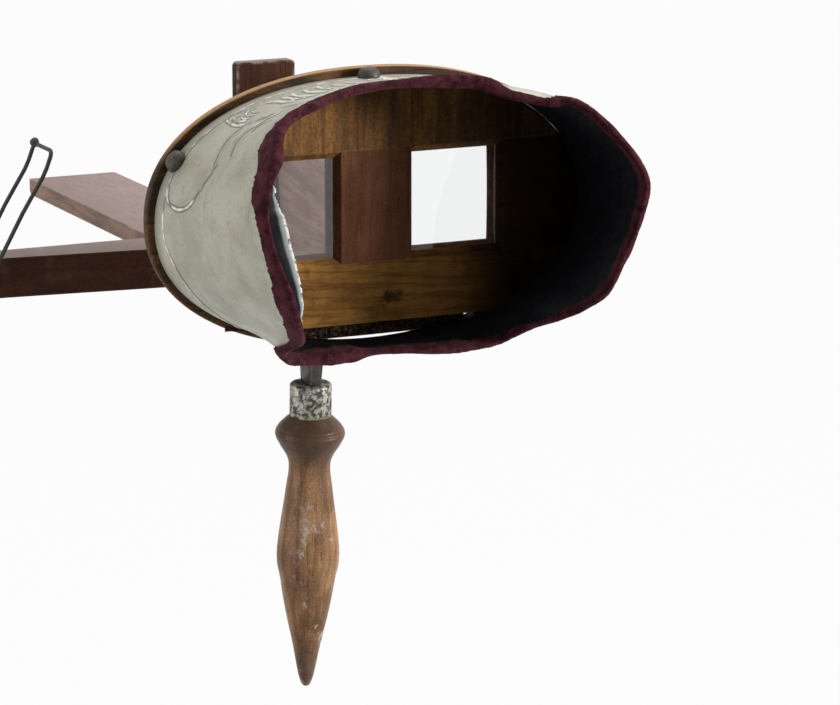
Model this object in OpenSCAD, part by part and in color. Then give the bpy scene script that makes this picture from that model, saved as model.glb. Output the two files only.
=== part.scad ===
// Hand-held stereoscope with a sheet-metal hood, a folding handle and a sliding card holder.
// The origin is on the underside of the shaft, over the middle of the handle bracket.
// +X is to the viewer's right, +Y runs away from the eyes along the shaft, +Z is up.

/* [Shaft] */
// Width of the shaft
shaft_w = 40; // [30:1:50]
// Thickness of the shaft
shaft_t = 7; // [5:0.5:10]
// Length of the shaft behind the rim board
shaft_l = 316; // [280:1:360]
// Radius of the shaft's lower far corner
shaft_nose_r = 3; // [1:0.5:4]
// Distance from the front of the lens frame to the middle of the handle bracket
handle_set = 60; // [50:1:75]
// How far the rim board reaches below the underside of the shaft
board_foot = 1.8; // [1:0.1:4]

/* [Rim board] */
// Width of the oval rim board
board_w = 176; // [166:1:190]
// Height of the rim board above the lens centres
board_up = 51.2; // [48:0.1:58]
// Depth of the oval below the lens centres, before its flat
board_down = 53.3; // [52:0.1:60]
// How far the flat at the bottom of the board cuts into the oval
flat_rise = 2.8; // [2:0.1:4]
// Thickness of the rim board
board_t = 4.5; // [3.5:0.1:7]
// How square the oval is, where 2 is a plain ellipse
board_power = 2.2; // [2:0.05:2.6]

/* [Lens frame] */
// Thickness of the rails and stiles
frame_t = 6.5; // [5:0.1:9]
// Height of the bottom rail's lower edge over the flat of the board
rail_lift = 6.5; // [5:0.1:10]
// Distance between the two window centres
window_pitch = 66.8; // [60:0.1:70]
// Clear width of a window
window_w = 34.6; // [28:0.1:38]
// Clear height of a window
window_h = 37.4; // [32:0.1:40]
// Width of the bevel round a window
bevel_w = 2.4; // [1:0.1:4]
// Depth of the bevel, which is also the thickness of the lip in front of the lens
lip_t = 2.6; // [1.5:0.1:3.5]

/* [Lenses] */
// How far a lens reaches behind the frame on each side of its window
lens_lap = 1.3; // [0.8:0.1:2]
// Thickness of a lens at its outer, thick edge
lens_t = 7; // [6.8:0.1:7.4]
// Radius of the curved face of a lens
lens_r = 150; // [140:1:220]
// Width of the bead that holds a lens from behind
bead_w = 2.2; // [1.5:0.1:3]

/* [Hood] */
// Margin of the rim board outside the hood
hood_inset = 3.5; // [2:0.1:6]
// Margin under the hood at the bottom, where the board is cut flat
hood_inset_low = 1.3; // [1:0.1:2]
// Thickness of the sheet metal
sheet_t = 0.8; // [0.5:0.1:1.2]
// Widest width of the hood's mouth
mouth_w = 148.6; // [140:0.2:160]
// Height of the hood's mouth above the lens centres
mouth_up = 50.8; // [46:0.2:54]
// Depth of the hood's mouth below the lens centres
mouth_down = 53.4; // [50:0.2:56]
// How far the cheeks of the hood stand out in front of the lens frame
hood_reach = 73; // [60:1:85]
// Length of the velvet binding over the edge
binding_w = 6; // [4:0.1:8]
// Thickness of the velvet binding
binding_t = 3.8; // [3:0.1:5]
// Depth to which the sheet's edge goes into the binding
binding_lap = 3.6; // [2:0.1:3.8]
// Diameter of a domed tack head
tack_d = 8.4; // [5:0.1:9]
// Height of a domed tack head
tack_h = 2.3; // [1:0.1:3]
// Length of a tack's shank
tack_l = 7; // [4:0.5:9]

/* [Septum] */
// Distance from the lens frame's front to the slat
slat_set = 103.2; // [80:0.1:110]
// Width of the slat
slat_w = 24.4; // [18:0.1:34]
// Thickness of the slat
slat_t = 5.2; // [4:0.1:8]
// Height of the slat's top above the lens centres
slat_up = 39.9; // [32:0.1:46]
// Radius of the slat's top corners
slat_r = 1.8; // [1:0.1:8]
// Thickness of the upright partition
stem_t = 5; // [3:0.1:7]
// Height of the partition above the lens centres
stem_up = 29; // [24:0.5:31]

/* [Handle] */
// Depth of the hinge axis below the shaft
hinge_drop = 14; // [13.5:0.5:18]
// Diameter of the hinge pin
hinge_d = 3.6; // [2.5:0.1:5]
// Angle by which the open handle leans away from the eyes
handle_lean = 3.2; // [0:0.2:10]
// Thickness of the handle's flat tang
tang_t = 4.5; // [3:0.1:6]
// Width of the tang round the hinge pin
tang_w = 16; // [12:0.5:17]
// Width of the tang where it enters the ferrule
tang_foot_w = 10; // [8:0.5:12]
// Distance from the hinge axis to the ferrule's top
ferrule_set = 17.5; // [12:0.5:24]
// Length of the ferrule
ferrule_l = 13; // [9:0.5:18]
// Diameter of the ferrule
ferrule_d = 16.4; // [14:0.1:20]
// Wall of the ferrule
ferrule_wall = 0.9; // [0.6:0.1:1.5]
// Length of the turned wooden grip below the ferrule
grip_l = 112; // [90:1:130]
// Greatest diameter of the grip's shoulder
grip_d = 27.4; // [22:0.2:28]
// Diameter of the grip's swelling
swell_d = 24.6; // [20:0.2:25]

/* [Card holder] */
// Distance from the lens frame's front to the holder's far face, as photographed
holder_set = 162; // [134:1:200]
// Length of the holder's crossbar
bar_l = 218; // [200:1:230]
// Height of the crossbar
bar_h = 16; // [14.5:0.1:20]
// Depth of the crossbar at its middle
bar_mid_t = 24; // [20:0.5:30]
// Depth of the crossbar at its ends
bar_end_t = 16; // [12:0.5:18]
// Length of the crossbar's full-depth middle
bar_mid_l = 56; // [50:1:70]
// Length over which each end keeps the same depth
bar_tip_l = 15; // [12:1:20]
// Wood of the crossbar over the shaft
bar_over = 3; // [2:0.1:5]
// Length of the keeper that closes the crossbar under the shaft
keeper_l = 70; // [66:1:80]
// Thickness of the leaf spring under the shaft
spring_t = 0.5; // [0.3:0.1:0.8]

/* [Card clips] */
// Diameter of the clip wire
wire_d = 1.7; // [1.2:0.1:2.4]
// Distance between the two legs of a clip
clip_gap = 21; // [20:0.5:24]
// Distance of a clip's pivot from the end of the crossbar
clip_inset = 6.5; // [4:0.5:12]
// Length of a clip's leg from the pivot to the top
leg_l = 57; // [40:1:66]
// Angle by which the clips lean inwards
clip_lean = 30.5; // [10:0.5:35]
// Radius of the bead on a clip's corner
clip_bead_r = 1.9; // [1.3:0.1:2.5]

/* [Hidden] */

// Clearances
fit = 0.05;        // glued or driven pieces, on each side
pivot_fit = 0.04;  // pins that turn, on the radius
slide_fit = 0.3;   // the card holder round the shaft, on each side
blade_fit = 0.15;  // the tang between the bracket's ears, on each side
eps = 0.01;        // lets a cut run out past a face
big = 400;         // larger than the whole object

// Places that several pieces share
board_flat = board_down - flat_rise;
rail_drop = board_flat - rail_lift;
eye_h = board_flat - board_foot;
y_face = -handle_set;
y_board = y_face + frame_t;
y_back = y_board + board_t;
y_end = y_back + shaft_l;
y_slat = y_face + slat_set;
lens_w = window_w + 2 * lens_lap;
lens_h = window_h + 2 * lens_lap;

// Colours
wood_dark = "#4a2c1e";
wood_gold = "#8a6030";
wood_red = "#6b4232";
wood_grey = "#6e5a50";
wood_grip = "#7a5540";
metal_pale = "#a8a69a";
metal_dark = "#4c4c48";
steel_grey = "#6a6a68";
velvet = "#5a2630";
glass = "#dfe8ea";
brass = "#a08850";

// Distance from the centre to a squared oval of half sizes a and b, in direction t
function oval_r(a, b, t) =
    pow(pow(abs(cos(t)) / a, board_power) + pow(abs(sin(t)) / b, board_power), -1 / board_power);

// Point on an oval that reaches up and down by different amounts, in direction t from its centre
function oval_at(a, up, down, t) =
    let (b = (up + down) / 2, r = oval_r(a, b, t))
    [r * cos(t), (up - down) / 2 + r * sin(t)];

oval_steps = 120;
function oval(a, up, down) =
    [for (i = [0 : oval_steps - 1]) oval_at(a, up, down, 360 * i / oval_steps)];

// Outside of the hood where it stands on the rim board
base_a = board_w / 2 - hood_inset;
base_up = board_up - hood_inset;
base_down = board_down - hood_inset_low;

// Smooth curve through four points, for 0 <= u <= 1 between the middle two
function spline4(a, b, c, d, u) =
    0.5 * (2 * b + (c - a) * u + (2 * a - 5 * b + 4 * c - d) * u * u
        + (3 * b - a - 3 * c + d) * u * u * u);

// Closed smooth curve through a list of points
function closed_spline(p, steps) =
    let (n = len(p))
    [for (i = [0 : n - 1]) for (k = [0 : steps - 1])
        spline4(p[(i + n - 1) % n], p[i], p[(i + 1) % n], p[(i + 2) % n], k / steps)];

// Open smooth curve through a list of points
function open_spline(p, steps) =
    let (n = len(p))
    concat([for (i = [0 : n - 2]) for (k = [0 : steps - 1])
        spline4(p[max(i - 1, 0)], p[i], p[i + 1], p[min(i + 2, n - 1)], k / steps)], [p[n - 1]]);

// Extrudes a shape drawn in x and z from y = 0 to y = t
module slab(t) {
    translate([0, t, 0])
        rotate([90, 0, 0])
            linear_extrude(t)
                children();
}

// Puts the drawing plane at the lens centres, y from the front of the lens frame
module at_eyes(y = y_face) {
    translate([0, y, eye_h])
        children();
}

// Straight countersunk screw, head face at z = 0, pointing to +Z
screw_d = 2.6;
screw_head_d = 5.4;
screw_head_h = 1.5;
module screw(l, slack = 0) {
    cylinder(h = l + slack, d = screw_d + 2 * slack, $fn = 32);
    translate([0, 0, -slack])
        cylinder(h = screw_head_h + slack, d1 = screw_head_d + 2 * slack,
            d2 = screw_d + 2 * slack, $fn = 32);
}

/* Shaft */

tenon_l = 3;
tenon_w = shaft_w - 10;
tenon_h = shaft_t / 2;
tenon_z = shaft_t - 1;
bracket_screw_y = 12.5;
bracket_skin = 1.5;  // wood left over the bracket's screws
septum_screw_x = slat_w / 2 - 5;
septum_bite = 9;     // depth of the upright screws in the slat

module shaft_tenon(slack = 0) {
    translate([-tenon_w / 2 - slack, y_back - tenon_l - slack, tenon_z - tenon_h - slack])
        cube([tenon_w + 2 * slack, tenon_l + slack + 1, tenon_h + 2 * slack]);
}

module shaft_side() {
    difference() {
        translate([y_back, 0])
            square([shaft_l, shaft_t]);
        translate([y_end - shaft_nose_r, 0])
            difference() {
                translate([0, -eps])
                    square([shaft_nose_r + eps, shaft_nose_r + eps]);
                translate([0, shaft_nose_r])
                    circle(r = shaft_nose_r, $fn = 48);
            }
    }
}

module shaft() {
    color(wood_grey)
        difference() {
            union() {
                translate([-shaft_w / 2, 0, 0])
                    rotate([90, 0, 90])
                        linear_extrude(shaft_w)
                            shaft_side();
                shaft_tenon();
            }
            bracket_screw_set(slack = fit);
            septum_screw_set(slack = fit);
        }
}

/* Rim board and lens frame */

module for_windows() {
    for (side = [-1, 1])
        translate([side * window_pitch / 2, 0])
            children();
}

module rect(w, h) {
    translate([-w / 2, -h / 2])
        square([w, h]);
}

module rim_board() {
    color(wood_dark)
        difference() {
            at_eyes(y_board)
                slab(board_t)
                    difference() {
                        polygon(oval(board_w / 2, board_up, board_down));
                        translate([-big / 2, -big - board_flat])
                            square([big, big]);
                        for_windows()
                            rect(lens_w + 2 * fit, lens_h + 2 * fit);
                    }
            shaft_tenon(slack = fit);
            stem_edge(slack = fit);
        }
}

// Wedges that bevel the long edges of the windows, drawn across the edge and run along it
module rail_bevel() {
    edge = window_h / 2 + bevel_w;
    translate([-big / 2, 0, 0])
        rotate([90, 0, 90])
            linear_extrude(big)
                bevel_section(edge);
}

module stile_bevels() {
    for (side = [-1, 1])
        for (hand = [-1, 1])
            translate([side * window_pitch / 2, 0, -big / 2])
                scale_x(hand)
                    linear_extrude(big)
                        mirror([1, -1])
                            bevel_section(window_w / 2 + bevel_w);
}

module scale_x(hand) {
    mirror([hand < 0 ? 1 : 0, 0, 0])
        children();
}

// Section of a bevel whose outer edge is at the given distance; the first axis is the depth
module bevel_section(edge) {
    polygon([[-1, edge + bevel_w / lip_t], [lip_t, edge - bevel_w], [lip_t, -1], [-1, -1]]);
}

// Outline of the lens frame inside the hood, cut straight below
module frame_outline() {
    inset = sheet_t + 0.15;
    intersection() {
        polygon(oval(base_a - inset, base_up - inset, base_down - inset));
        translate([-big / 2, -rail_drop])
            square([big, big]);
    }
}

// The part of the lens frame over one zone of the front
module frame_piece() {
    at_eyes()
        difference() {
            slab(frame_t)
                intersection() {
                    frame_outline();
                    children();
                }
            for (side = [-1, 1])
                translate([side * window_pitch / 2 - lens_w / 2 - fit, lip_t, -lens_h / 2 - fit])
                    cube([lens_w + 2 * fit, big, lens_h + 2 * fit]);
            translate([0, -y_face, -eye_h])
                tack_set(shank_slack = fit, heads = false);
        }
}

// Zone of the upper rail: all above the windows' bevels, and the mitred strip over each window
module rail_zone() {
    edge = window_h / 2 + bevel_w;
    translate([-big / 2, edge])
        square([big, big]);
    for_windows()
        polygon([
            [-window_w / 2 - bevel_w, edge], [-window_w / 2, window_h / 2],
            [window_w / 2, window_h / 2], [window_w / 2 + bevel_w, edge]]);
}

// Zone of all the stiles: between the rails, beside the windows
module stile_zone() {
    edge = window_h / 2 + bevel_w;
    difference() {
        translate([-big / 2, -edge])
            square([big, 2 * edge]);
        rail_zone();
        mirror([0, 1])
            rail_zone();
        for_windows()
            rect(window_w, window_h);
    }
}

module rail() {
    difference() {
        frame_piece()
            children();
        at_eyes()
            rail_bevel();
    }
}

module stile() {
    difference() {
        frame_piece()
            intersection() {
                stile_zone();
                children();
            }
        at_eyes()
            stile_bevels();
    }
}

module top_rail() {
    color(wood_gold)
        rail()
            rail_zone();
}

module bottom_rail() {
    color(wood_gold)
        difference() {
            frame_piece()
                mirror([0, 1])
                    rail_zone();
            at_eyes()
                mirror([0, 0, 1])
                    rail_bevel();
        }
}

module centre_stile() {
    color(wood_red)
        stile()
            rect(window_pitch, big);
}

module side_stile(side) {
    color(wood_gold)
        stile()
            translate([side * (window_pitch / 2 + big / 2), 0])
                square([big, big], center = true);
}

/* Lenses and their beads */

// Half of a round lens: flat in front, thick at its outer edge
module lens(side) {
    color(glass)
        at_eyes(y_face + lip_t)
            translate([side * window_pitch / 2, 0, 0])
                intersection() {
                    slab(lens_t)
                        rect(lens_w, lens_h);
                    translate([side * lens_w / 2, lens_t - lens_r, 0])
                        sphere(r = lens_r, $fn = 480);
                }
}

module lens_bead(side) {
    bead_t = frame_t + board_t - lip_t - lens_t;
    color(wood_red)
        at_eyes(y_back - bead_t)
            translate([side * window_pitch / 2, 0, 0])
                slab(bead_t)
                    difference() {
                        rect(lens_w, lens_h);
                        rect(lens_w - 2 * bead_w, lens_h - 2 * bead_w);
                    }
}

/* Hood */

// Half of the mouth's edge from the top round to the bottom, as shares of the mouth's
// half width, of the reach, and of the height above or the depth below the lens centres
mouth_shape = [
    [0, 0.453, 1], [0.27, 0.468, 0.986], [0.55, 0.584, 0.933], [0.775, 0.69, 0.829],
    [0.89, 0.858, 0.648], [1, 0.99, 0.343], [0.973, 1, 0.051], [0.883, 0.984, -0.258],
    [0.81, 0.923, -0.494], [0.696, 0.69, -0.7], [0.662, 0.386, -0.854], [0.537, 0.23, -0.98],
    [0.29, 0.17, -1], [0, 0.14, -0.99]];
function mouth_point(k, side) = [
    side * k[0] * mouth_w / 2, -k[1] * hood_reach, k[2] * (k[2] > 0 ? mouth_up : mouth_down)];
mouth_keys = concat(
    [for (k = mouth_shape) mouth_point(k, 1)],
    [for (i = [len(mouth_shape) - 2 : -1 : 1]) mouth_point(mouth_shape[i], -1)]);
mouth = closed_spline(mouth_keys, 4);
mouth_n = len(mouth);

// Foot of each line that runs from the rim board to the mouth
function foot(p, y) =
    let (q = oval_at(base_a, base_up, base_down, atan2(p[2] - (base_up - base_down) / 2, p[0])))
    [q[0], y, q[1]];

// Moves a point of the hood towards the middle of its oval
function inward(p, d) =
    let (c = (base_up - base_down) / 2, v = [p[0], 0, p[2] - c])
    p - d * v / norm(v);

// Shares of the way from the lens frame to the mouth
hood_rows = [0, 0.25, 0.5, 0.75, 1];
function hood_row(u, d) = [for (p = mouth) inward(foot(p, 0) + u * (p - foot(p, 0)), d)];
function foot_row(d) = [for (p = mouth) inward(foot(p, frame_t), d)];

// Triangles between rings of points, the last ring joined to the first
function ring_faces(rings, n) =
    [for (j = [0 : rings - 1]) for (i = [0 : n - 1]) for (half = [0, 1])
        let (a = j * n + i, b = j * n + (i + 1) % n,
            c = ((j + 1) % rings) * n + i, d = ((j + 1) % rings) * n + (i + 1) % n)
        half == 0 ? [a, c, b] : [b, c, d]];

module hood() {
    outside = concat([foot_row(0)], [for (u = hood_rows) hood_row(u, 0)]);
    inside = concat([for (i = [len(hood_rows) - 1 : -1 : 0]) hood_row(hood_rows[i], sheet_t)],
        [foot_row(sheet_t)]);
    rings = concat(outside, inside);
    color(metal_pale)
        at_eyes()
            polyhedron(
                points = [for (ring = rings) each ring],
                faces = ring_faces(len(rings), mouth_n),
                convexity = 6);
}

// Section of the binding: a folded strip, with a slot for the edge of the sheet.
// The first value runs along the sheet towards the mouth, the second to the outside.
slot = sheet_t / 2 + 0.15;
function binding_section() = concat(
    [for (a = [-150 : 30 : 150])
        [binding_w / 2 * cos(a) + binding_w / 2 - binding_lap, binding_t / 2 * sin(a)]],
    [[-binding_lap * 0.95, slot], [fit, slot], [fit, -slot], [-binding_lap * 0.95, -slot]]);

function binding_ring(i) =
    let (
        p = inward(mouth[i], sheet_t / 2),
        ahead = mouth[(i + 1) % mouth_n] - mouth[(i + mouth_n - 1) % mouth_n],
        run = p - inward(foot(mouth[i], 0), sheet_t / 2),
        out = cross(ahead, run) / norm(cross(ahead, run)),
        dir = run / norm(run))
    [for (q = binding_section()) p + q[0] * dir - q[1] * out];

module hood_binding() {
    section_n = len(binding_section());
    color(velvet)
        at_eyes()
            polyhedron(
                points = [for (i = [0 : mouth_n - 1]) each binding_ring(i)],
                faces = [for (f = ring_faces(mouth_n, section_n)) [f[0], f[2], f[1]]],
                convexity = 6);
}

// Directions of the tacks from the middle of the base oval
tack_angles = [90, 17, 163];

module tack_set(shank_slack = 0, heads = true) {
    y = y_board - tack_d / 2 - 0.2;
    for (a = tack_angles) {
        p = oval_at(base_a, base_up, base_down, a);
        q = oval_at(base_a, base_up, base_down, a + 1) - oval_at(base_a, base_up, base_down, a - 1);
        n_angle = atan2(q[1], q[0]) - 90;
        at_eyes(y)
            translate([p[0], 0, p[1]])
                rotate([0, 90 - n_angle, 0]) {
                    if (heads)
                        tack_head();
                    translate([0, 0, -tack_l])
                        cylinder(h = tack_l + 0.5, d = 1.6 + 2 * shank_slack, $fn = 24);
                }
    }
}

// Dome cut from a sphere, so that it is tack_d wide and tack_h high
module tack_head() {
    r = (tack_d * tack_d / 4 + tack_h * tack_h) / (2 * tack_h);
    lift = 0.25;
    translate([0, 0, lift])
        rotate_extrude($fn = 48)
            intersection() {
                translate([0, tack_h - r])
                    circle(r = r, $fn = 96);
                square([tack_d, tack_h]);
            }
}

module hood_tacks() {
    color(metal_dark)
        tack_set();
}

/* Septum */

stem_seat = 1.5;   // depth of the partition's groove in the rim board
nail_d = 1.6;
nail_head_d = 3;
nail_head_t = 0.6;
nail_bite = 12;    // depth of the nails in the partition
nail_z = [-18, 16];

module stem_edge(slack = 0) {
    at_eyes(y_back - stem_seat - slack)
        translate([-stem_t / 2 - slack, 0, shaft_t - eye_h])
            cube([stem_t + 2 * slack, stem_seat + slack + eps, stem_up + eye_h - shaft_t + slack]);
}

module septum_stem() {
    color(wood_grey)
        difference() {
            at_eyes(y_back - stem_seat)
                translate([-stem_t / 2, 0, shaft_t - eye_h])
                    cube([stem_t, y_slat - y_back + stem_seat, stem_up + eye_h - shaft_t]);
            nail_set(slack = fit);
        }
}

module septum_slat() {
    color(wood_dark)
        difference() {
            at_eyes(y_slat)
                slab(slat_t)
                    difference() {
                        translate([-slat_w / 2, shaft_t - eye_h])
                            square([slat_w, slat_up + eye_h - shaft_t]);
                        for (side = [0, 1])
                            mirror([side, 0])
                                translate([slat_w / 2 - slat_r, slat_up - slat_r])
                                    difference() {
                                        square([slat_r + eps, slat_r + eps]);
                                        circle(r = slat_r, $fn = 48);
                                    }
                    }
            nail_set(slack = fit);
            septum_screw_set(slack = fit);
        }
}

module nail_set(slack = 0) {
    for (z = nail_z)
        at_eyes(y_slat + slat_t)
            translate([0, 0, z])
                rotate([90, 0, 0]) {
                    cylinder(h = slat_t + nail_bite + slack, d = nail_d + 2 * slack, $fn = 24);
                    translate([0, 0, -slack])
                        cylinder(h = nail_head_t + slack, d = nail_head_d + 2 * slack, $fn = 24);
                }
}

module septum_nails() {
    color(metal_dark)
        nail_set();
}

module septum_screw_set(slack = 0) {
    for (side = [-1, 1])
        translate([side * septum_screw_x, y_slat + slat_t / 2, 0])
            screw(shaft_t + septum_bite, slack);
}

module septum_screws() {
    color(steel_grey)
        septum_screw_set();
}

/* Handle */

plate_t = 1.6;
plate_w = 18;
plate_l = 36;
ear_t = 1.6;
ear_x = tang_t / 2 + blade_fit;
ear_w = 13;

module bracket_screw_set(slack = 0) {
    for (side = [-1, 1])
        translate([0, side * bracket_screw_y, -plate_t])
            screw(plate_t + shaft_t - bracket_skin, slack);
}

// One ear: a strip that ends in a half round about the pin
module ear() {
    rotate([90, 0, 90])
        linear_extrude(ear_t)
            difference() {
                union() {
                    translate([0, -hinge_drop])
                        circle(d = ear_w, $fn = 64);
                    translate([-ear_w / 2, -hinge_drop])
                        square([ear_w, hinge_drop]);
                }
                translate([0, -hinge_drop])
                    circle(d = hinge_d + 2 * pivot_fit, $fn = 48);
            }
}

module handle_bracket() {
    color(steel_grey)
        difference() {
            union() {
                translate([-plate_w / 2, -plate_l / 2, -plate_t])
                    cube([plate_w, plate_l, plate_t]);
                for (x = [ear_x, -ear_x - ear_t])
                    translate([x, 0, 0])
                        ear();
            }
            bracket_screw_set(slack = fit);
        }
}

module bracket_screws() {
    color(steel_grey)
        bracket_screw_set();
}

// Rivet: its heads lie just outside the ears
module hinge_pin() {
    half = ear_x + ear_t + 0.1;
    color(steel_grey)
        translate([-half, 0, -hinge_drop])
            rotate([0, 90, 0]) {
                cylinder(h = 2 * half, d = hinge_d, $fn = 48);
                for (z = [-1, 2 * half])
                    translate([0, 0, z])
                        cylinder(h = 1, d = hinge_d + 3, $fn = 48);
            }
}

// The handle's own frame: hinge axis at the origin, grip along -Z
module at_hinge() {
    translate([0, 0, -hinge_drop])
        rotate([handle_lean, 0, 0])
            children();
}

spike_d = 4.4;
spike_l = 40;
ferrule_in = ferrule_d / 2 - ferrule_wall;

// Outline of the tang from the side: round at the pin, straight tapering flanks
module tang_side() {
    difference() {
        union() {
            circle(d = tang_w, $fn = 96);
            polygon([
                [-tang_w / 2, 0], [tang_w / 2, 0],
                [tang_foot_w / 2, -ferrule_set], [tang_foot_w / 2, -ferrule_set - ferrule_wall - 1],
                [-tang_foot_w / 2, -ferrule_set - ferrule_wall - 1], [-tang_foot_w / 2, -ferrule_set]]);
        }
        circle(d = hinge_d + 2 * pivot_fit, $fn = 48);
    }
}

module tang_solid(slack = 0) {
    translate([-tang_t / 2 - slack, 0, 0])
        rotate([90, 0, 90])
            linear_extrude(tang_t + 2 * slack)
                tang_side();
}

module handle_tang() {
    color(steel_grey)
        at_hinge() {
            tang_solid();
            translate([0, 0, -ferrule_set - ferrule_wall - 1 - spike_l])
                cylinder(h = spike_l + 1, d = spike_d, $fn = 32);
        }
}

module ferrule() {
    edge_r = 1.2;
    color(steel_grey)
        at_hinge()
            translate([0, 0, -ferrule_set - ferrule_l])
                difference() {
                    rotate_extrude($fn = 96)
                        difference() {
                            union() {
                                square([ferrule_d / 2, ferrule_l - edge_r]);
                                square([ferrule_d / 2 - edge_r, ferrule_l]);
                                translate([ferrule_d / 2 - edge_r, ferrule_l - edge_r])
                                    circle(r = edge_r, $fn = 48);
                            }
                            translate([-eps, -eps])
                                square([ferrule_in + eps, ferrule_l - ferrule_wall + eps]);
                            translate([-big, -big / 2])
                                square([big, big]);
                        }
                    translate([-tang_t / 2 - fit, -tang_foot_w / 2 - fit, 0])
                        cube([tang_t + 2 * fit, tang_foot_w + 2 * fit, ferrule_l + 1]);
                }
}

// Half outline of the turned grip from its top end down to its tip, as diameters at distances
grip_neck_d = 16.3;
grip_tip_d = 4;
grip_keys = [
    [grip_neck_d / 2, 0], [grip_d / 2 - 1.5, 0.035], [grip_d / 2, 0.065], [grip_d / 2 - 1.6, 0.1],
    [grip_neck_d / 2 + 0.7, 0.15], [grip_neck_d / 2, 0.195], [grip_neck_d / 2 + 1.2, 0.28],
    [swell_d / 2, 0.495], [swell_d / 2 - 1.5, 0.6], [swell_d / 2 - 3.8, 0.72],
    [grip_neck_d / 2 - 2.6, 0.84], [grip_tip_d / 2 + 1.2, 0.95], [grip_tip_d / 2, 0.985]];

module grip() {
    grip_top = -ferrule_set - ferrule_l;
    profile = open_spline([for (k = grip_keys) [k[0], grip_top - k[1] * grip_l]], 4);
    spigot_r = ferrule_in - fit;
    spigot_top = grip_top + ferrule_l - ferrule_wall - fit;
    color(wood_grip)
        at_hinge()
            difference() {
                rotate_extrude($fn = 96)
                    polygon(concat(
                        [[0, spigot_top], [spigot_r, spigot_top], [spigot_r, grip_top]],
                        profile,
                        [[grip_tip_d / 4, grip_top - grip_l], [0, grip_top - grip_l]]));
                tang_solid(slack = fit);
                translate([0, 0, -ferrule_set - ferrule_wall - 1 - spike_l - fit])
                    cylinder(h = spike_l + 2, d = spike_d + 2 * fit, $fn = 32);
                tang_pocket();
            }
}

// Room in the grip's top end for the foot of the tang
module tang_pocket() {
    foot_h = 1 + fit;
    translate([-tang_t / 2 - fit, -tang_foot_w / 2 - fit, -ferrule_set - ferrule_wall - foot_h])
        cube([tang_t + 2 * fit, tang_foot_w + 2 * fit, foot_h + 1]);
}

/* Card holder */

bar_top = shaft_t + slide_fit + bar_over;
bar_bottom = bar_top - bar_h;
y_bar_back = y_face + holder_set;
y_bar_mid = y_bar_back - bar_mid_t / 2;
keeper_top = -slide_fit;
keeper_screw_x = (shaft_w / 2 + slide_fit + keeper_l / 2) / 2;
pivot_x = bar_l / 2 - clip_inset;
pivot_y = y_bar_back - bar_end_t / 2;
pivot_z = (bar_top + bar_bottom) / 2;

// Crossbar from above: flat at the back, stepped out to the middle by long tapers in front
module bar_plan() {
    mid = bar_mid_l / 2;
    tip = bar_l / 2 - bar_tip_l;
    polygon([
        [-bar_l / 2, 0], [bar_l / 2, 0], [bar_l / 2, -bar_end_t], [tip, -bar_end_t],
        [mid, -bar_mid_t], [-mid, -bar_mid_t], [-tip, -bar_end_t], [-bar_l / 2, -bar_end_t]]);
}

module crossbar() {
    color(wood_dark)
        difference() {
            translate([0, y_bar_back, bar_bottom])
                linear_extrude(bar_h)
                    bar_plan();
            translate([-shaft_w / 2 - slide_fit, -big / 2, bar_bottom - 1])
                cube([shaft_w + 2 * slide_fit, big, shaft_t + slide_fit - bar_bottom + 1]);
            translate([-keeper_l / 2 - fit, -big / 2, bar_bottom - 1])
                cube([keeper_l + 2 * fit, big, keeper_top - bar_bottom + 1]);
            for (side = [-1, 1])
                translate([side * pivot_x, pivot_y, pivot_z])
                    rotate([90, 0, 0])
                        cylinder(h = big, d = wire_d + 2 * pivot_fit, center = true, $fn = 32);
            keeper_screw_set(slack = fit);
        }
}

keeper_bite = 7;     // depth of the keeper's screws in the crossbar
keeper_screw_y = bar_mid_t / 4;
spring_w = 12;
spring_l = 30;
spring_room = 1.6;

module keeper() {
    color(wood_dark)
        difference() {
            translate([0, y_bar_back, bar_bottom])
                linear_extrude(keeper_top - bar_bottom)
                    intersection() {
                        bar_plan();
                        square([keeper_l, big], center = true);
                    }
            translate([-spring_l / 2 - 0.5, y_bar_mid - spring_w / 2 - 0.5,
                keeper_top - spring_room])
                cube([spring_l + 1, spring_w + 1, spring_room + 1]);
            keeper_screw_set(slack = fit);
        }
}

module keeper_screw_set(slack = 0) {
    for (side = [-1, 1])
        for (shift = [-keeper_screw_y, keeper_screw_y])
            translate([side * keeper_screw_x, y_bar_mid + shift, bar_bottom])
                screw(keeper_top - bar_bottom + keeper_bite, slack);
}

module keeper_screws() {
    color(steel_grey)
        keeper_screw_set();
}

// Bowed leaf: its ends stand in the keeper's recess and its crown bears on the shaft
module friction_spring() {
    rise = spring_room + slide_fit - spring_t - 0.06;
    steps = 12;
    bow = [for (i = [0 : steps]) let (u = 2 * i / steps - 1) [u * spring_l / 2, rise * (1 - u * u)]];
    upper = [for (i = [steps : -1 : 0]) [bow[i][0], bow[i][1] + spring_t]];
    color(brass)
        translate([0, y_bar_mid - spring_w / 2, keeper_top - spring_room])
            slab(spring_w)
                polygon(concat(bow, upper));
}

/* Card clips */

wire_bend_r = 2.5;

// Straight piece of wire from the origin along +Z; the next piece starts at its end
module wire_run(l) {
    cylinder(h = l, d = wire_d, $fn = 32);
    translate([0, 0, l])
        children();
}

// Bend of the wire from +Z towards +X; the next piece starts at its end
module wire_bend(angle, r = wire_bend_r) {
    translate([r, 0, 0])
        rotate([90, 0, 0])
            rotate([0, 0, 180 - angle])
                rotate_extrude(angle = angle, $fn = 48)
                    translate([r, 0])
                        circle(d = wire_d, $fn = 32);
    translate([r * (1 - cos(angle)), 0, r * sin(angle)])
        rotate([0, angle, 0])
            children();
}

clip_pin_l = 6;    // depth of a clip's pin in the crossbar

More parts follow.
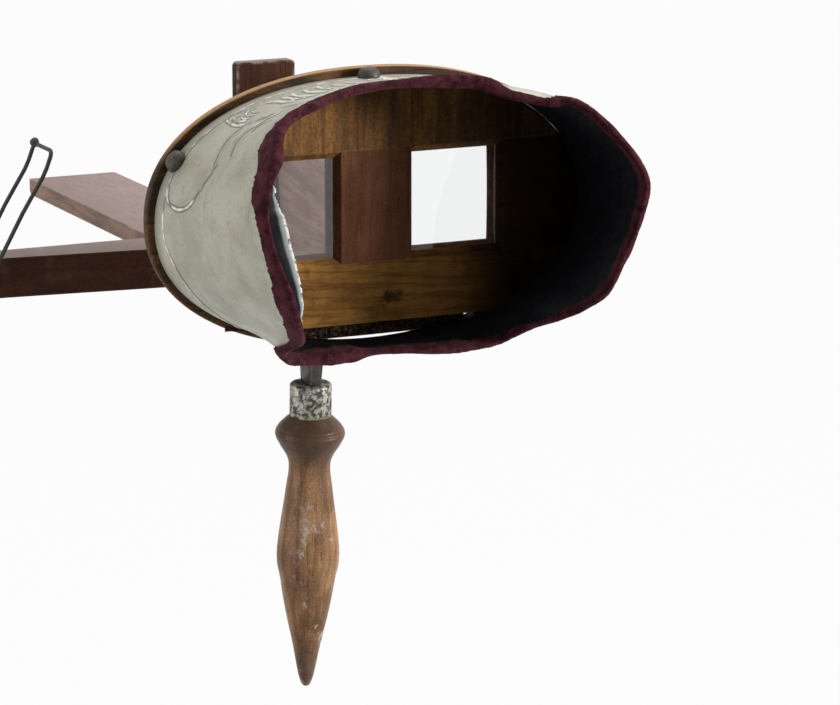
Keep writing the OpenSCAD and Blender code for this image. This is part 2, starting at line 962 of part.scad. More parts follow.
// The whole wire of a clip, upright, with its pins along Y through the origin
module clip_wire() {
    pin_in = bar_end_t / 2 - clip_pin_l;
    pin_run = clip_gap / 2 - wire_bend_r - pin_in;
    leg_run = leg_l - 2 * wire_bend_r;
    translate([0, -pin_in, 0])
        rotate([90, 0, 0])
            rotate([0, 0, 90])
                wire_run(pin_run)
                    wire_bend(90)
                        wire_run(leg_run)
                            wire_bend(90)
                                wire_run(clip_gap - 2 * wire_bend_r) {
                                    sphere(r = clip_bead_r, $fn = 48);
                                    wire_bend(90)
                                        wire_run(leg_run)
                                            wire_bend(90)
                                                wire_run(pin_run);
                                }
}

module clip(side) {
    color(metal_dark)
        mirror([side > 0 ? 1 : 0, 0, 0])
            translate([-pivot_x, pivot_y, pivot_z])
                rotate([0, clip_lean, 0])
                    clip_wire();
}

shaft();
rim_board();
top_rail();
bottom_rail();
centre_stile();
side_stile(-1);  // left_stile
side_stile(1);  // right_stile
lens(-1);  // left_lens
lens(1);  // right_lens
lens_bead(-1);  // left_lens_bead
lens_bead(1);  // right_lens_bead
hood();
hood_binding();
hood_tacks();
septum_stem();
septum_slat();
septum_nails();
septum_screws();
handle_bracket();
bracket_screws();
hinge_pin();
handle_tang();
ferrule();
grip();
crossbar();
keeper();
keeper_screws();
friction_spring();
clip(-1);  // left_clip_wire
clip(1);  // right_clip_wire
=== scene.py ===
import bpy
import math
from mathutils import Matrix, Vector, kdtree, noise


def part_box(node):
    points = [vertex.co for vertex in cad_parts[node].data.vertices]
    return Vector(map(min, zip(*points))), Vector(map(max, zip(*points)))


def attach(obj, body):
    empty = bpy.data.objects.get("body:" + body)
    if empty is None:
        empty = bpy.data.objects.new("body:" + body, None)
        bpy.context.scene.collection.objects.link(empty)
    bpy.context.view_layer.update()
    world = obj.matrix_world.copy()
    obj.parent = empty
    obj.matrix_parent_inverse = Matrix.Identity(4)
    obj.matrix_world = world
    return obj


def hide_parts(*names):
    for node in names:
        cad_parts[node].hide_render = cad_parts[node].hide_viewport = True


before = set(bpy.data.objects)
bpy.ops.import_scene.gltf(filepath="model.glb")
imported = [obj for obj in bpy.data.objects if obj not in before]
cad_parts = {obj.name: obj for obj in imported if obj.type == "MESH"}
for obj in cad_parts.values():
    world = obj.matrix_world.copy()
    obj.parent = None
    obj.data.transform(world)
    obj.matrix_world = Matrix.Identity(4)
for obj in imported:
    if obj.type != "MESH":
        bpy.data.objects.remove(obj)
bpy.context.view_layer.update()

# The stage: a white floor well below the viewer, a white surround, soft lamps from above,
# and the camera at the left, a little above the hood.
scene = bpy.context.scene
scene.view_settings.view_transform = "Standard"
bpy.ops.object.select_all(action="DESELECT")

camera_right = Vector((0.9063, -0.4226, 0.0))
camera_up = Vector((0.0929, 0.1992, 0.9755))
camera_back = camera_right.cross(camera_up)
bpy.ops.object.camera_add(location=(-0.6006, -1.3873, 0.3212))
camera = bpy.context.object
camera.name = "camera"
camera.rotation_euler = Matrix((camera_right, camera_up, camera_back)).transposed().to_euler()
camera.data.lens = 171.43
camera.data.sensor_width = 36.0
camera.data.clip_start = 0.05
scene.camera = camera


def put(tree, kind, values=None, **settings):
    """Adds a shader node; a value is a number or colour, or the socket that feeds it."""
    made = tree.nodes.new(kind)
    for name, value in settings.items():
        setattr(made, name, value)
    for key, value in (values or {}).items():
        if isinstance(value, bpy.types.NodeSocket):
            tree.links.new(value, made.inputs[key])
        else:
            made.inputs[key].default_value = value
    return made


def shade(red, green, blue):
    """A colour as seen, from 0 to 255, turned into the shader's own scale."""
    linear = [
        c / 12.92 if c <= 0.04045 else ((c + 0.055) / 1.055) ** 2.4
        for c in (red / 255, green / 255, blue / 255)
    ]
    return (*linear, 1.0)


def joined(tree, operation, first, second):
    return put(tree, "ShaderNodeMath", {0: first, 1: second}, operation=operation).outputs[0]


def seen_or_mirrored(tree):
    """1 for what the camera, a reflection or a pane of glass sees, 0 for light on the viewer."""
    ray = put(tree, "ShaderNodeLightPath").outputs
    seen = joined(tree, "MAXIMUM", ray["Is Camera Ray"], ray["Is Glossy Ray"])
    return joined(tree, "MAXIMUM", seen, ray["Is Transmission Ray"])


world = bpy.data.worlds.new("surround")
scene.world = world
world.use_nodes = True
tree = world.node_tree
tree.nodes.clear()
lighting = put(tree, "ShaderNodeBackground", {"Color": (0.95, 0.98, 1.0, 1.0), "Strength": 0.10})
backdrop = put(tree, "ShaderNodeBackground", {"Color": (1.0, 1.0, 1.0, 1.0), "Strength": 1.0})
mixed = put(tree, "ShaderNodeMixShader", {0: seen_or_mirrored(tree), 1: lighting.outputs[0],
                                          2: backdrop.outputs[0]})
put(tree, "ShaderNodeOutputWorld", {"Surface": mixed.outputs[0]})

floor_size, floor_z = 40, -0.32
bpy.ops.mesh.primitive_plane_add(size=floor_size, location=(0, 0, floor_z))
floor = bpy.context.object
floor.name = "floor"
paper = bpy.data.materials.new("white_paper")
paper.use_nodes = True
tree = paper.node_tree
tree.nodes.clear()
matt = put(tree, "ShaderNodeBsdfDiffuse", {"Color": (0.40, 0.40, 0.40, 1.0)})
glow = put(tree, "ShaderNodeEmission", {"Color": (1.0, 1.0, 1.0, 1.0), "Strength": 1.0})
share = joined(tree, "MULTIPLY", seen_or_mirrored(tree), 0.97)
mixed = put(tree, "ShaderNodeMixShader", {0: share, 1: matt.outputs[0], 2: glow.outputs[0]})
put(tree, "ShaderNodeOutputMaterial", {"Surface": mixed.outputs[0]})
floor.data.materials.append(paper)


lit_place = Vector((0, 0, 0.03))
for name, place, size, power in (("top_lamp", (0.25, 0.30, 1.30), 1.0, 14.0),
                                 ("left_lamp", (-1.45, 0.05, -0.05), 1.0, 15.0),
                                 ("right_lamp", (1.35, -1.20, 0.36), 0.5, 46.0)):
    bpy.ops.object.light_add(type="AREA", location=place)
    lamp = bpy.context.object
    lamp.name = name
    lamp.data.size = size
    lamp.data.energy = power
    lamp.rotation_euler = (Vector(place) - lit_place).to_track_quat("Z", "Y").to_euler()


# Shared by the sawn wooden pieces: a copy of the piece from the frame with its arrises taken
# off, and the woods, each with its own grain, greyed on top and rubbed pale along the edges.
def only(piece):
    """Selects one piece alone."""
    bpy.ops.object.select_all(action="DESELECT")
    piece.select_set(True)
    bpy.context.view_layer.objects.active = piece


def finish_with(piece, kind, **settings):
    """Puts one modifier on a piece and applies it."""
    only(piece)
    modifier = piece.modifiers.new(kind.lower(), kind)
    for name, value in settings.items():
        setattr(modifier, name, value)
    bpy.ops.object.modifier_apply(modifier=modifier.name)


def smooth(piece, degrees=35):
    only(piece)
    bpy.ops.object.shade_smooth_by_angle(angle=math.radians(degrees))


def settle(piece, name, body, materials, nodes=()):
    """Gives a finished piece its name, finish and body, and the CAD nodes that it stands for."""
    piece.name = name
    piece.data.name = name
    if list(piece.data.materials) != list(materials):
        piece.data.materials.clear()
        for material in materials:
            piece.data.materials.append(material)
    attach(piece, body)
    if nodes:
        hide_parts(*nodes)


def planed(node):
    """A copy of a CAD piece, its triangles joined into whole faces."""
    piece = bpy.data.objects.new(node + "_copy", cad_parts[node].data.copy())
    scene.collection.objects.link(piece)
    only(piece)
    bpy.ops.object.mode_set(mode="EDIT")
    bpy.ops.mesh.select_all(action="SELECT")
    bpy.ops.mesh.remove_doubles(threshold=0.000004)
    bpy.ops.mesh.dissolve_limited(angle_limit=math.radians(0.6))
    bpy.ops.object.mode_set(mode="OBJECT")
    return piece


def eased(node, name, body, material, arris, segments=3):
    """A planed copy with its arrises taken off, settled under its own name."""
    piece = planed(node)
    finish_with(piece, "BEVEL", width=arris, segments=segments, limit_method="ANGLE",
                angle_limit=math.radians(40), use_clamp_overlap=True)
    smooth(piece)
    settle(piece, name, body, [material], [node])


def new_group(name, inputs, outputs):
    """A node group, each socket given with its kind; returns it with the sockets inside."""
    group = bpy.data.node_groups.new(name, "ShaderNodeTree")
    for in_out, sockets in (("INPUT", inputs), ("OUTPUT", outputs)):
        for socket, kind in sockets.items():
            group.interface.new_socket(name=socket, in_out=in_out,
                                       socket_type="NodeSocket" + kind)
    return (group, group.nodes.new("NodeGroupInput").outputs,
            group.nodes.new("NodeGroupOutput").inputs)


def placed(tree, group, values):
    return put(tree, "ShaderNodeGroup", values, node_tree=group).outputs


def stretched(tree, place, scale, turn=(0, 0, 0), shift=(0, 0, 0)):
    return put(tree, "ShaderNodeMapping", {"Vector": place, "Location": shift,
                                           "Rotation": turn, "Scale": scale}).outputs[0]


def cloudy(tree, place, scale, detail=2.0, roughness=0.5, distortion=0.0):
    """Noise from 0 to 1; the scale is in cells to the metre."""
    return put(tree, "ShaderNodeTexNoise", {
        "Vector": place, "Scale": scale, "Detail": detail, "Roughness": roughness,
        "Distortion": distortion}).outputs["Fac"]


def mask(tree, value, low, high, out_low=0.0, out_high=1.0):
    """A value spread smoothly from one range onto another."""
    return put(tree, "ShaderNodeMapRange", {
        0: value, 1: low, 2: high, 3: out_low, 4: out_high},
        interpolation_type="SMOOTHSTEP").outputs[0]


def blended(tree, share, first, second, mode="MIX"):
    return put(tree, "ShaderNodeMix", {0: share, 6: first, 7: second}, data_type="RGBA",
               blend_type=mode).outputs[2]


def dimmed(tree, colour, factor):
    return blended(tree, 1.0, colour, factor, "MULTIPLY")


def touched(tree, colour, where, share, tint):
    """A colour with a tint over it where a mask is 1, covering it by the share given."""
    return blended(tree, joined(tree, "MULTIPLY", where, share), colour, shade(*tint))


def build_grain():
    """Long fibres along X: a broad figure, dark growth lines and fine open pores."""
    group, given, result = new_group(
        "grain", {"Vector": "Vector", "Pale": "Color", "Dark": "Color", "Pore": "Color",
                  "Figure": "Float", "Lines": "Float"}, {"Color": "Color", "Height": "Float"})
    along = stretched(group, given["Vector"], (0.09, 1.0, 1.0))
    broad = cloudy(group, along, 95.0, 5.0, 0.6, 0.7)
    bands = put(group, "ShaderNodeTexWave", {
        "Vector": along, "Scale": 60.0, "Distortion": 9.0, "Detail": 3.0, "Detail Scale": 1.6,
        "Detail Roughness": 0.6}, wave_type="BANDS", bands_direction="DIAGONAL").outputs["Fac"]
    thin = stretched(group, given["Vector"], (0.045, 1.0, 1.0))
    open_pores = mask(group, cloudy(group, thin, 1500.0, 3.0, 0.65), 0.56, 0.72)
    patches = cloudy(group, given["Vector"], 42.0, 4.0)
    specks = cloudy(group, given["Vector"], 1300.0)
    figure = joined(group, "MULTIPLY", mask(group, broad, 0.34, 0.66), given["Figure"])
    colour = blended(group, figure, given["Pale"], given["Dark"])
    lines = joined(group, "MULTIPLY", mask(group, bands, 0.55, 1.0), given["Lines"])
    colour = blended(group, lines, colour, given["Dark"])
    colour = blended(group, joined(group, "MULTIPLY", open_pores, 0.75), colour, given["Pore"])
    colour = dimmed(group, colour, mask(group, patches, 0.3, 0.75, 0.78, 1.1))
    colour = dimmed(group, colour, mask(group, specks, 0.3, 0.7, 0.74, 1.22))
    group.links.new(colour, result["Color"])
    fibres = joined(group, "MULTIPLY", mask(group, broad, 0.2, 0.8), 0.5)
    group.links.new(joined(group, "SUBTRACT", fibres, open_pores), result["Height"])
    return group


def build_rubbing():
    """1 on the arrises that hands have rubbed, broken up by small patches."""
    group, given, result = new_group("rubbing", {"Vector": "Vector", "Radius": "Float"},
                                     {"Rubbed": "Float"})
    rounded = put(group, "ShaderNodeBevel", {"Radius": given["Radius"]}, samples=6)
    flat = put(group, "ShaderNodeNewGeometry")
    turn = put(group, "ShaderNodeVectorMath", {0: rounded.outputs[0], 1: flat.outputs["Normal"]},
               operation="DOT_PRODUCT")
    edge = mask(group, joined(group, "SUBTRACT", 1.0, turn.outputs["Value"]), 0.01, 0.14)
    kept = mask(group, cloudy(group, given["Vector"], 260.0, 4.0, 0.7), 0.38, 0.6)
    group.links.new(joined(group, "MULTIPLY", edge, kept), result["Rubbed"])
    return group


def build_handling():
    """Dust and painted top light on what faces up, and the small dents and stains of use."""
    group, given, result = new_group("handling", {"Vector": "Vector"},
                                     {"Up": "Float", "Stain": "Float", "Dent": "Float"})
    facing = put(group, "ShaderNodeNewGeometry").outputs["Normal"]
    up = put(group, "ShaderNodeSeparateXYZ", {0: facing}).outputs["Z"]
    group.links.new(mask(group, up, 0.45, 0.95), result["Up"])
    stains = cloudy(group, given["Vector"], 75.0, 6.0, 0.62, 0.4)
    group.links.new(mask(group, stains, 0.52, 0.74), result["Stain"])
    dents = put(group, "ShaderNodeTexVoronoi", {"Vector": given["Vector"], "Scale": 210.0})
    group.links.new(mask(group, dents.outputs["Distance"], 0.0, 0.22), result["Dent"])
    return group


def new_material(name, **plain):
    """A material with one Principled shader; plain values are set on its own sockets."""
    material = bpy.data.materials.new(name)
    material.use_nodes = True
    tree = material.node_tree
    tree.nodes.clear()
    shader = put(tree, "ShaderNodeBsdfPrincipled")
    for key, value in plain.items():
        shader.inputs[key.replace("_", " ").title().replace("Ior", "IOR")].default_value = value
    put(tree, "ShaderNodeOutputMaterial", {"Surface": shader.outputs[0]})
    place = put(tree, "ShaderNodeTexCoord").outputs["Object"]
    return material, tree, shader, place


def dress(tree, shader, colour, roughness=None, height=None, depth=0.0, strength=0.0):
    """Links a colour, and where given a roughness and a relief of that depth in metres."""
    tree.links.new(colour, shader.inputs["Base Color"])
    if roughness is not None:
        tree.links.new(roughness, shader.inputs["Roughness"])
    if height is not None:
        bump = put(tree, "ShaderNodeBump", {"Height": height, "Strength": strength,
                                            "Distance": depth})
        tree.links.new(bump.outputs[0], shader.inputs["Normal"])


grain = build_grain()
rubbing = build_rubbing()
handling = build_handling()
X_GRAIN = (0.0, 0.0, 0.0)
Y_GRAIN = (0.0, 0.0, math.radians(90))
Z_GRAIN = (0.0, math.radians(90), 0.0)


def wood(name, turn, pale, dark, pore, worn, dust_and_top_light=None, figure=0.8, lines=0.5, size=1.0,
         stain=(38, 26, 20), stained=0.5, dust_and_top_light_share=0.85, gloss=0.14, rubbed=0.7,
         rub_reach=0.0015, painted_shade_end=None, knot=None):
    """One wood: its colours, how strong each mark is, where painted shade darkens it towards +X,
    and where it has a knot.
    """
    material, tree, shader, place = new_material(name, specular_ior_level=gloss)
    fibre = placed(tree, grain, {
        "Vector": stretched(tree, place, (size, size, size), turn), "Pale": shade(*pale),
        "Dark": shade(*dark), "Pore": shade(*pore), "Figure": figure, "Lines": lines})
    used = placed(tree, handling, {"Vector": place})
    edge = placed(tree, rubbing, {"Vector": place, "Radius": rub_reach})
    colour = touched(tree, fibre["Color"], used["Stain"], stained, stain)
    # Up-facing faces take a paler tone: dust, and painted top light as well.
    if dust_and_top_light is not None:
        grey = dimmed(tree, shade(*dust_and_top_light), mask(tree, fibre["Height"], -0.8, 0.4, 0.72, 1.08))
        colour = blended(tree, joined(tree, "MULTIPLY", used["Up"], dust_and_top_light_share), colour, grey)
    colour = touched(tree, colour, edge["Rubbed"], rubbed, worn)
    # Darkening along X towards the right end: painted shade of the hood's right cheek.
    if painted_shade_end is not None:
        start, end, left = painted_shade_end
        across = put(tree, "ShaderNodeSeparateXYZ", {0: place}).outputs["X"]
        colour = dimmed(tree, colour, mask(tree, across, start, end, 1.0, left))
    if knot is not None:
        (knot_x, knot_z), (knot_width, knot_height) = knot
        eye = stretched(tree, place, (1 / knot_width, 0.0, 1 / knot_height),
                        shift=(-knot_x / knot_width, 0.0, -knot_z / knot_height))
        away = put(tree, "ShaderNodeVectorMath", {0: eye}, operation="LENGTH").outputs["Value"]
        ragged = joined(tree, "SUBTRACT", cloudy(tree, place, 330.0, 4.0, 0.7), 0.5)
        reach = joined(tree, "ADD", away, joined(tree, "MULTIPLY", ragged, 3.2))
        colour = dimmed(tree, colour, mask(tree, reach, 0.45, 1.45, 0.22, 1.0))
    height = joined(tree, "ADD", fibre["Height"], joined(tree, "MULTIPLY", used["Dent"], 0.35))
    dress(tree, shader, colour, mask(tree, used["Stain"], 0.0, 1.0, 0.62, 0.42), height,
          0.00018, 0.7)
    return material


# The shaft: one flat stick of hardwood, planed on all sides and greyed on top by light and
# dust. Its near end is tenoned into the rim board, and its lower far corner is rounded off.
shaft_wood = wood("shaft_wood", Y_GRAIN, (156, 128, 114), (114, 90, 78), (66, 52, 46),
                  (184, 166, 154), dust_and_top_light=(148, 130, 126), figure=0.7, lines=0.55)
eased("shaft", "shaft_stick", "frame", shaft_wood, 0.0007)

# The rim board: a thin oval board with two square holes, across the end of the shaft. It
# carries the hood and stands out all round it, its edge rounded and rubbed golden by hands.
# Its up-facing faces are painted pale gold, dust and painted top light together.
rim_wood = wood("rim_wood", X_GRAIN, (108, 76, 44), (50, 33, 20), (32, 22, 15),
                (196, 154, 104), dust_and_top_light=(206, 162, 114), figure=1.0, lines=0.8, stained=0.85,
                dust_and_top_light_share=0.7)
rim_front, rim_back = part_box("rim_board")[0].y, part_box("rim_board")[1].y
oval_half_w, oval_half_h, oval_middle = 0.088, 0.0522, 0.0476
rim = planed("rim_board")
bpy.ops.object.mode_set(mode="EDIT")
bpy.ops.mesh.select_all(action="DESELECT")
bpy.ops.object.mode_set(mode="OBJECT")
for edge in rim.data.edges:
    ends = [rim.data.vertices[i].co for i in edge.vertices]
    level = abs(ends[0].y - ends[1].y) < 1e-6 and min(
        abs(ends[0].y - rim_front), abs(ends[0].y - rim_back)) < 1e-6
    outside = all(math.hypot(p.x / oval_half_w, (p.z - oval_middle) / oval_half_h) > 0.9
                  for p in ends)
    edge.select = level and (outside or all(p.z < 0.0 for p in ends))
bpy.ops.object.mode_set(mode="EDIT")
bpy.ops.mesh.select_mode(type="EDGE")
bpy.ops.mesh.bevel(offset=0.0013, segments=4, profile=0.5)
bpy.ops.object.mode_set(mode="OBJECT")

# A chip has broken out of the board's lower edge, and light shows through it
chip_place, chip_half = Vector((0.0430, -0.0505, 0.0022)), Vector((0.0022, 0.0080, 0.0060))
bpy.ops.mesh.primitive_ico_sphere_add(subdivisions=3, radius=1)
chip = bpy.context.object
for vertex in chip.data.vertices:
    p = vertex.co * (1.0 + 0.3 * noise.noise(vertex.co * 1.7)) * chip_half
    vertex.co = chip_place + p + p.y * Vector((0.44, 0, -0.22))
finish_with(rim, "BOOLEAN", object=chip, operation="DIFFERENCE", solver="EXACT")
bpy.data.objects.remove(chip)
smooth(rim, 40)
settle(rim, "rim_board_oval", "frame", [rim_wood], ["rim_board"])

# The lens frame: two rails with three stiles between them, glued to the front of the rim
# board inside the hood. The windows between them are bevelled like small picture frames.
# The right ends of the rails and the right stile are darkened, a painted shade of the hood's right
# cheek.
rail_wood = wood("rail_wood", X_GRAIN, (164, 117, 58), (104, 68, 28), (48, 30, 16),
                 (150, 112, 62), figure=0.55, lines=0.55, size=2.4, stain=(56, 38, 25),
                 stained=0.75, gloss=0.06, painted_shade_end=(0.024, 0.056, 0.06),
                 knot=((0.0063, 0.0138), (0.0046, 0.0024)))
streaked_wood = wood("streaked_wood", Z_GRAIN, (148, 104, 56), (92, 64, 42), (54, 37, 24),
                     (150, 112, 62), figure=1.0, lines=0.7, size=0.8, stain=(82, 62, 46),
                     stained=0.9, gloss=0.07, painted_shade_end=(0.038, 0.056, 0.36))
stile_wood = wood("stile_wood", Z_GRAIN, (130, 86, 62), (100, 62, 42), (62, 38, 26),
                  (128, 92, 66), figure=0.6, lines=0.4, size=1.6, stained=0.3, gloss=0.05)
eased("top_rail", "top_rail_board", "frame", streaked_wood, 0.00015, 2)
eased("bottom_rail", "bottom_rail_board", "frame", rail_wood, 0.00015, 2)
eased("centre_stile", "centre_stile_board", "frame", stile_wood, 0.00015, 2)
for side in ("left", "right"):
    eased(side + "_stile", side + "_stile_board", "frame", rail_wood, 0.00015, 2)


# The crust of old glue and torn fibres on the board's face, below the bottom rail.
def flat_grid(columns, rows):
    """An evenly divided sheet 2 m wide; its vertices are put in place afterwards."""
    bpy.ops.mesh.primitive_grid_add(x_subdivisions=columns, y_subdivisions=rows, size=2)
    return bpy.context.object


def faces_out(weld=0.0):
    """Turns the active piece's faces outwards, after merging vertices nearer than weld."""
    bpy.ops.object.mode_set(mode="EDIT")
    bpy.ops.mesh.select_all(action="SELECT")
    if weld:
        bpy.ops.mesh.remove_doubles(threshold=weld)
    bpy.ops.mesh.normals_make_consistent(inside=False)
    bpy.ops.object.mode_set(mode="OBJECT")


crust_middle, crust_half, crust_rise = -0.0095, 0.0485, 0.0011
crust_low, crust_high = -0.0015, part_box("bottom_rail")[0].z + 0.0003
glue_crust = flat_grid(260, 16)
for vertex in glue_crust.data.vertices:
    x = crust_middle + vertex.co.x * crust_half
    low = crust_low + 0.0085 * (abs(x) / 0.058) ** 2.6
    z = crust_high + (low - crust_high) * (1 - vertex.co.y) / 2
    lumps = 0.5 + noise.noise(Vector((x, 0, z)) * 420) + 0.6 * noise.noise(
        Vector((x, 5, z)) * 1100)
    margin = min(1.0, 3.0 * (1 - abs(vertex.co.x)), 2.5 * (1 - abs(vertex.co.y)) + 0.15)
    vertex.co = (x, rim_front - 0.0001 - crust_rise * max(lumps, 0.05) * margin, z)
faces_out()
finish_with(glue_crust, "SOLIDIFY", thickness=0.0003, offset=1.0)
smooth(glue_crust, 30)
crust_wood, tree, shader, place = new_material("glue_crust", specular_ior_level=0.06)
crumbs = cloudy(tree, place, 620.0, 6.0, 0.75)
colour = blended(tree, mask(tree, crumbs, 0.50, 0.64), shade(36, 28, 24), shade(128, 94, 56))
dress(tree, shader, colour, mask(tree, crumbs, 0.3, 0.7, 0.35, 0.7), crumbs, 0.0004, 0.8)
settle(glue_crust, "glue_crust_strip", "frame", [crust_wood])

# The lenses: the two halves of one round lens, cut square, flat in front and thick at the
# outer side. Each is pressed into the frame from behind and held by a small wooden bead.
lens_front = -0.0574
lens_w, lens_h, lens_edge, lens_radius, lens_play = 0.0372, 0.0400, 0.0070, 0.150, 0.0001
window_x, eye_z = 0.0334, 0.0487
glass, tree, shader, place = new_material(
    "lens_glass", base_color=(0.97, 0.98, 0.98, 1.0), roughness=0.02, transmission_weight=1.0,
    ior=1.52)
ground, tree, shader, place = new_material("ground_edge", roughness=0.6)
speckle = mask(tree, cloudy(tree, place, 900.0, 3.0), 0.35, 0.65)
dress(tree, shader, blended(tree, speckle, shade(118, 110, 108), shade(156, 148, 144)))
bead_wood = wood("bead_wood", X_GRAIN, (104, 70, 50), (70, 44, 32), (44, 28, 22),
                 (128, 96, 70), figure=0.6, lines=0.3)
for side, sign in (("left", -1), ("right", 1)):
    bpy.ops.mesh.primitive_grid_add(x_subdivisions=40, y_subdivisions=44, size=1)
    lens = bpy.context.object
    for vertex in lens.data.vertices:
        x = sign * window_x + vertex.co.x * (lens_w - lens_play)
        z = vertex.co.y * (lens_h - lens_play)
        off = x - sign * (window_x + lens_w / 2)
        y = lens_front + lens_edge - lens_radius + math.sqrt(lens_radius ** 2 - off ** 2 - z ** 2)
        vertex.co = (x, y, eye_z + z)
    bpy.ops.object.mode_set(mode="EDIT")
    bpy.ops.mesh.select_all(action="SELECT")
    bpy.ops.mesh.extrude_region_move()
    bpy.ops.transform.resize(value=(1, 0, 1), center_override=(0, lens_front, 0))
    bpy.ops.object.mode_set(mode="OBJECT")
    faces_out()
    smooth(lens, 20)
    settle(lens, side + "_lens_half", "frame", [glass, ground], [side + "_lens"])
    for face in lens.data.polygons:
        face.material_index = int(abs(face.normal.x) > 0.9)
    eased(side + "_lens_bead", side + "_lens_bead_strip", "frame", bead_wood,
          0.0003, 2)

# The hood: one sheet of aluminium bent into an oval tube and tacked round the lens frame.
# Its mouth is cut to the brow, cheeks and nose. A border line and scrolls are pressed out
# from inside, the outside is left matt, and the inside is painted black.
face_y, frame_depth = -0.0600, 0.0065
sheet_t = 0.0008
base_a, base_up, base_down = 0.0850, 0.0477, 0.0520
mouth_half, mouth_up, mouth_down, hood_reach = 0.0743, 0.0508, 0.0534, 0.073
mouth_shape = [
    (0, 0.453, 1), (0.27, 0.468, 0.986), (0.55, 0.584, 0.933), (0.775, 0.69, 0.829),
    (0.89, 0.858, 0.648), (1, 0.99, 0.343), (0.973, 1, 0.051), (0.883, 0.984, -0.258),
    (0.81, 0.923, -0.494), (0.696, 0.69, -0.7), (0.662, 0.386, -0.854), (0.537, 0.23, -0.98),
    (0.29, 0.17, -1), (0, 0.14, -0.99)]
mouth_keys = [
    Vector((side * x * mouth_half, -y * hood_reach, z * (mouth_up if z > 0 else mouth_down)))
    for side, keys in ((1, mouth_shape), (-1, mouth_shape[-2:0:-1])) for x, y, z in keys]
around = len(mouth_keys)
oval_z = (base_up - base_down) / 2


def between(a, b, c, d, u):
    """The smooth curve through four points, between the middle two."""
    return 0.5 * (2 * b + (c - a) * u + (2 * a - 5 * b + 4 * c - d) * u * u
                  + (3 * b - a - 3 * c + d) * u * u * u)


def mouth(t):
    """The cut edge of the hood, by places counted from the top round by the right."""
    i = math.floor(t)
    return between(*(mouth_keys[(i + k) % around] for k in (-1, 0, 1, 2)), t - i)


def base(p, y=0.0):
    """Where the line of the sheet that ends at p leaves the lens frame."""
    angle = math.atan2(p.z - oval_z, p.x)
    half = (base_up + base_down) / 2
    power = 2.18 + 0.15 * math.sin(angle)
    r = ((abs(math.cos(angle)) / base_a) ** power
         + (abs(math.sin(angle)) / half) ** power) ** (-1 / power)
    return Vector((r * math.cos(angle), y, oval_z + r * math.sin(angle)))


def droop(t, u):
    """How far the brow's right side is bent down towards its edge."""
    return Vector((0, 0, -0.0038 * math.exp(-((t - 2.1) / 0.62) ** 4)
                   * max(u - 0.84, 0.0) ** 1.3 / 0.16 ** 1.3))


def on_hood(t, u):
    """A place on the sheet: u is 0 at the lens frame's front, 1 at the mouth, -1 at the board."""
    p = mouth(t)
    foot = base(p, max(-u, 0.0) * frame_depth)
    return foot + max(u, 0.0) * (p - base(p)) + Vector((0, face_y, eye_z)) + droop(t, u)


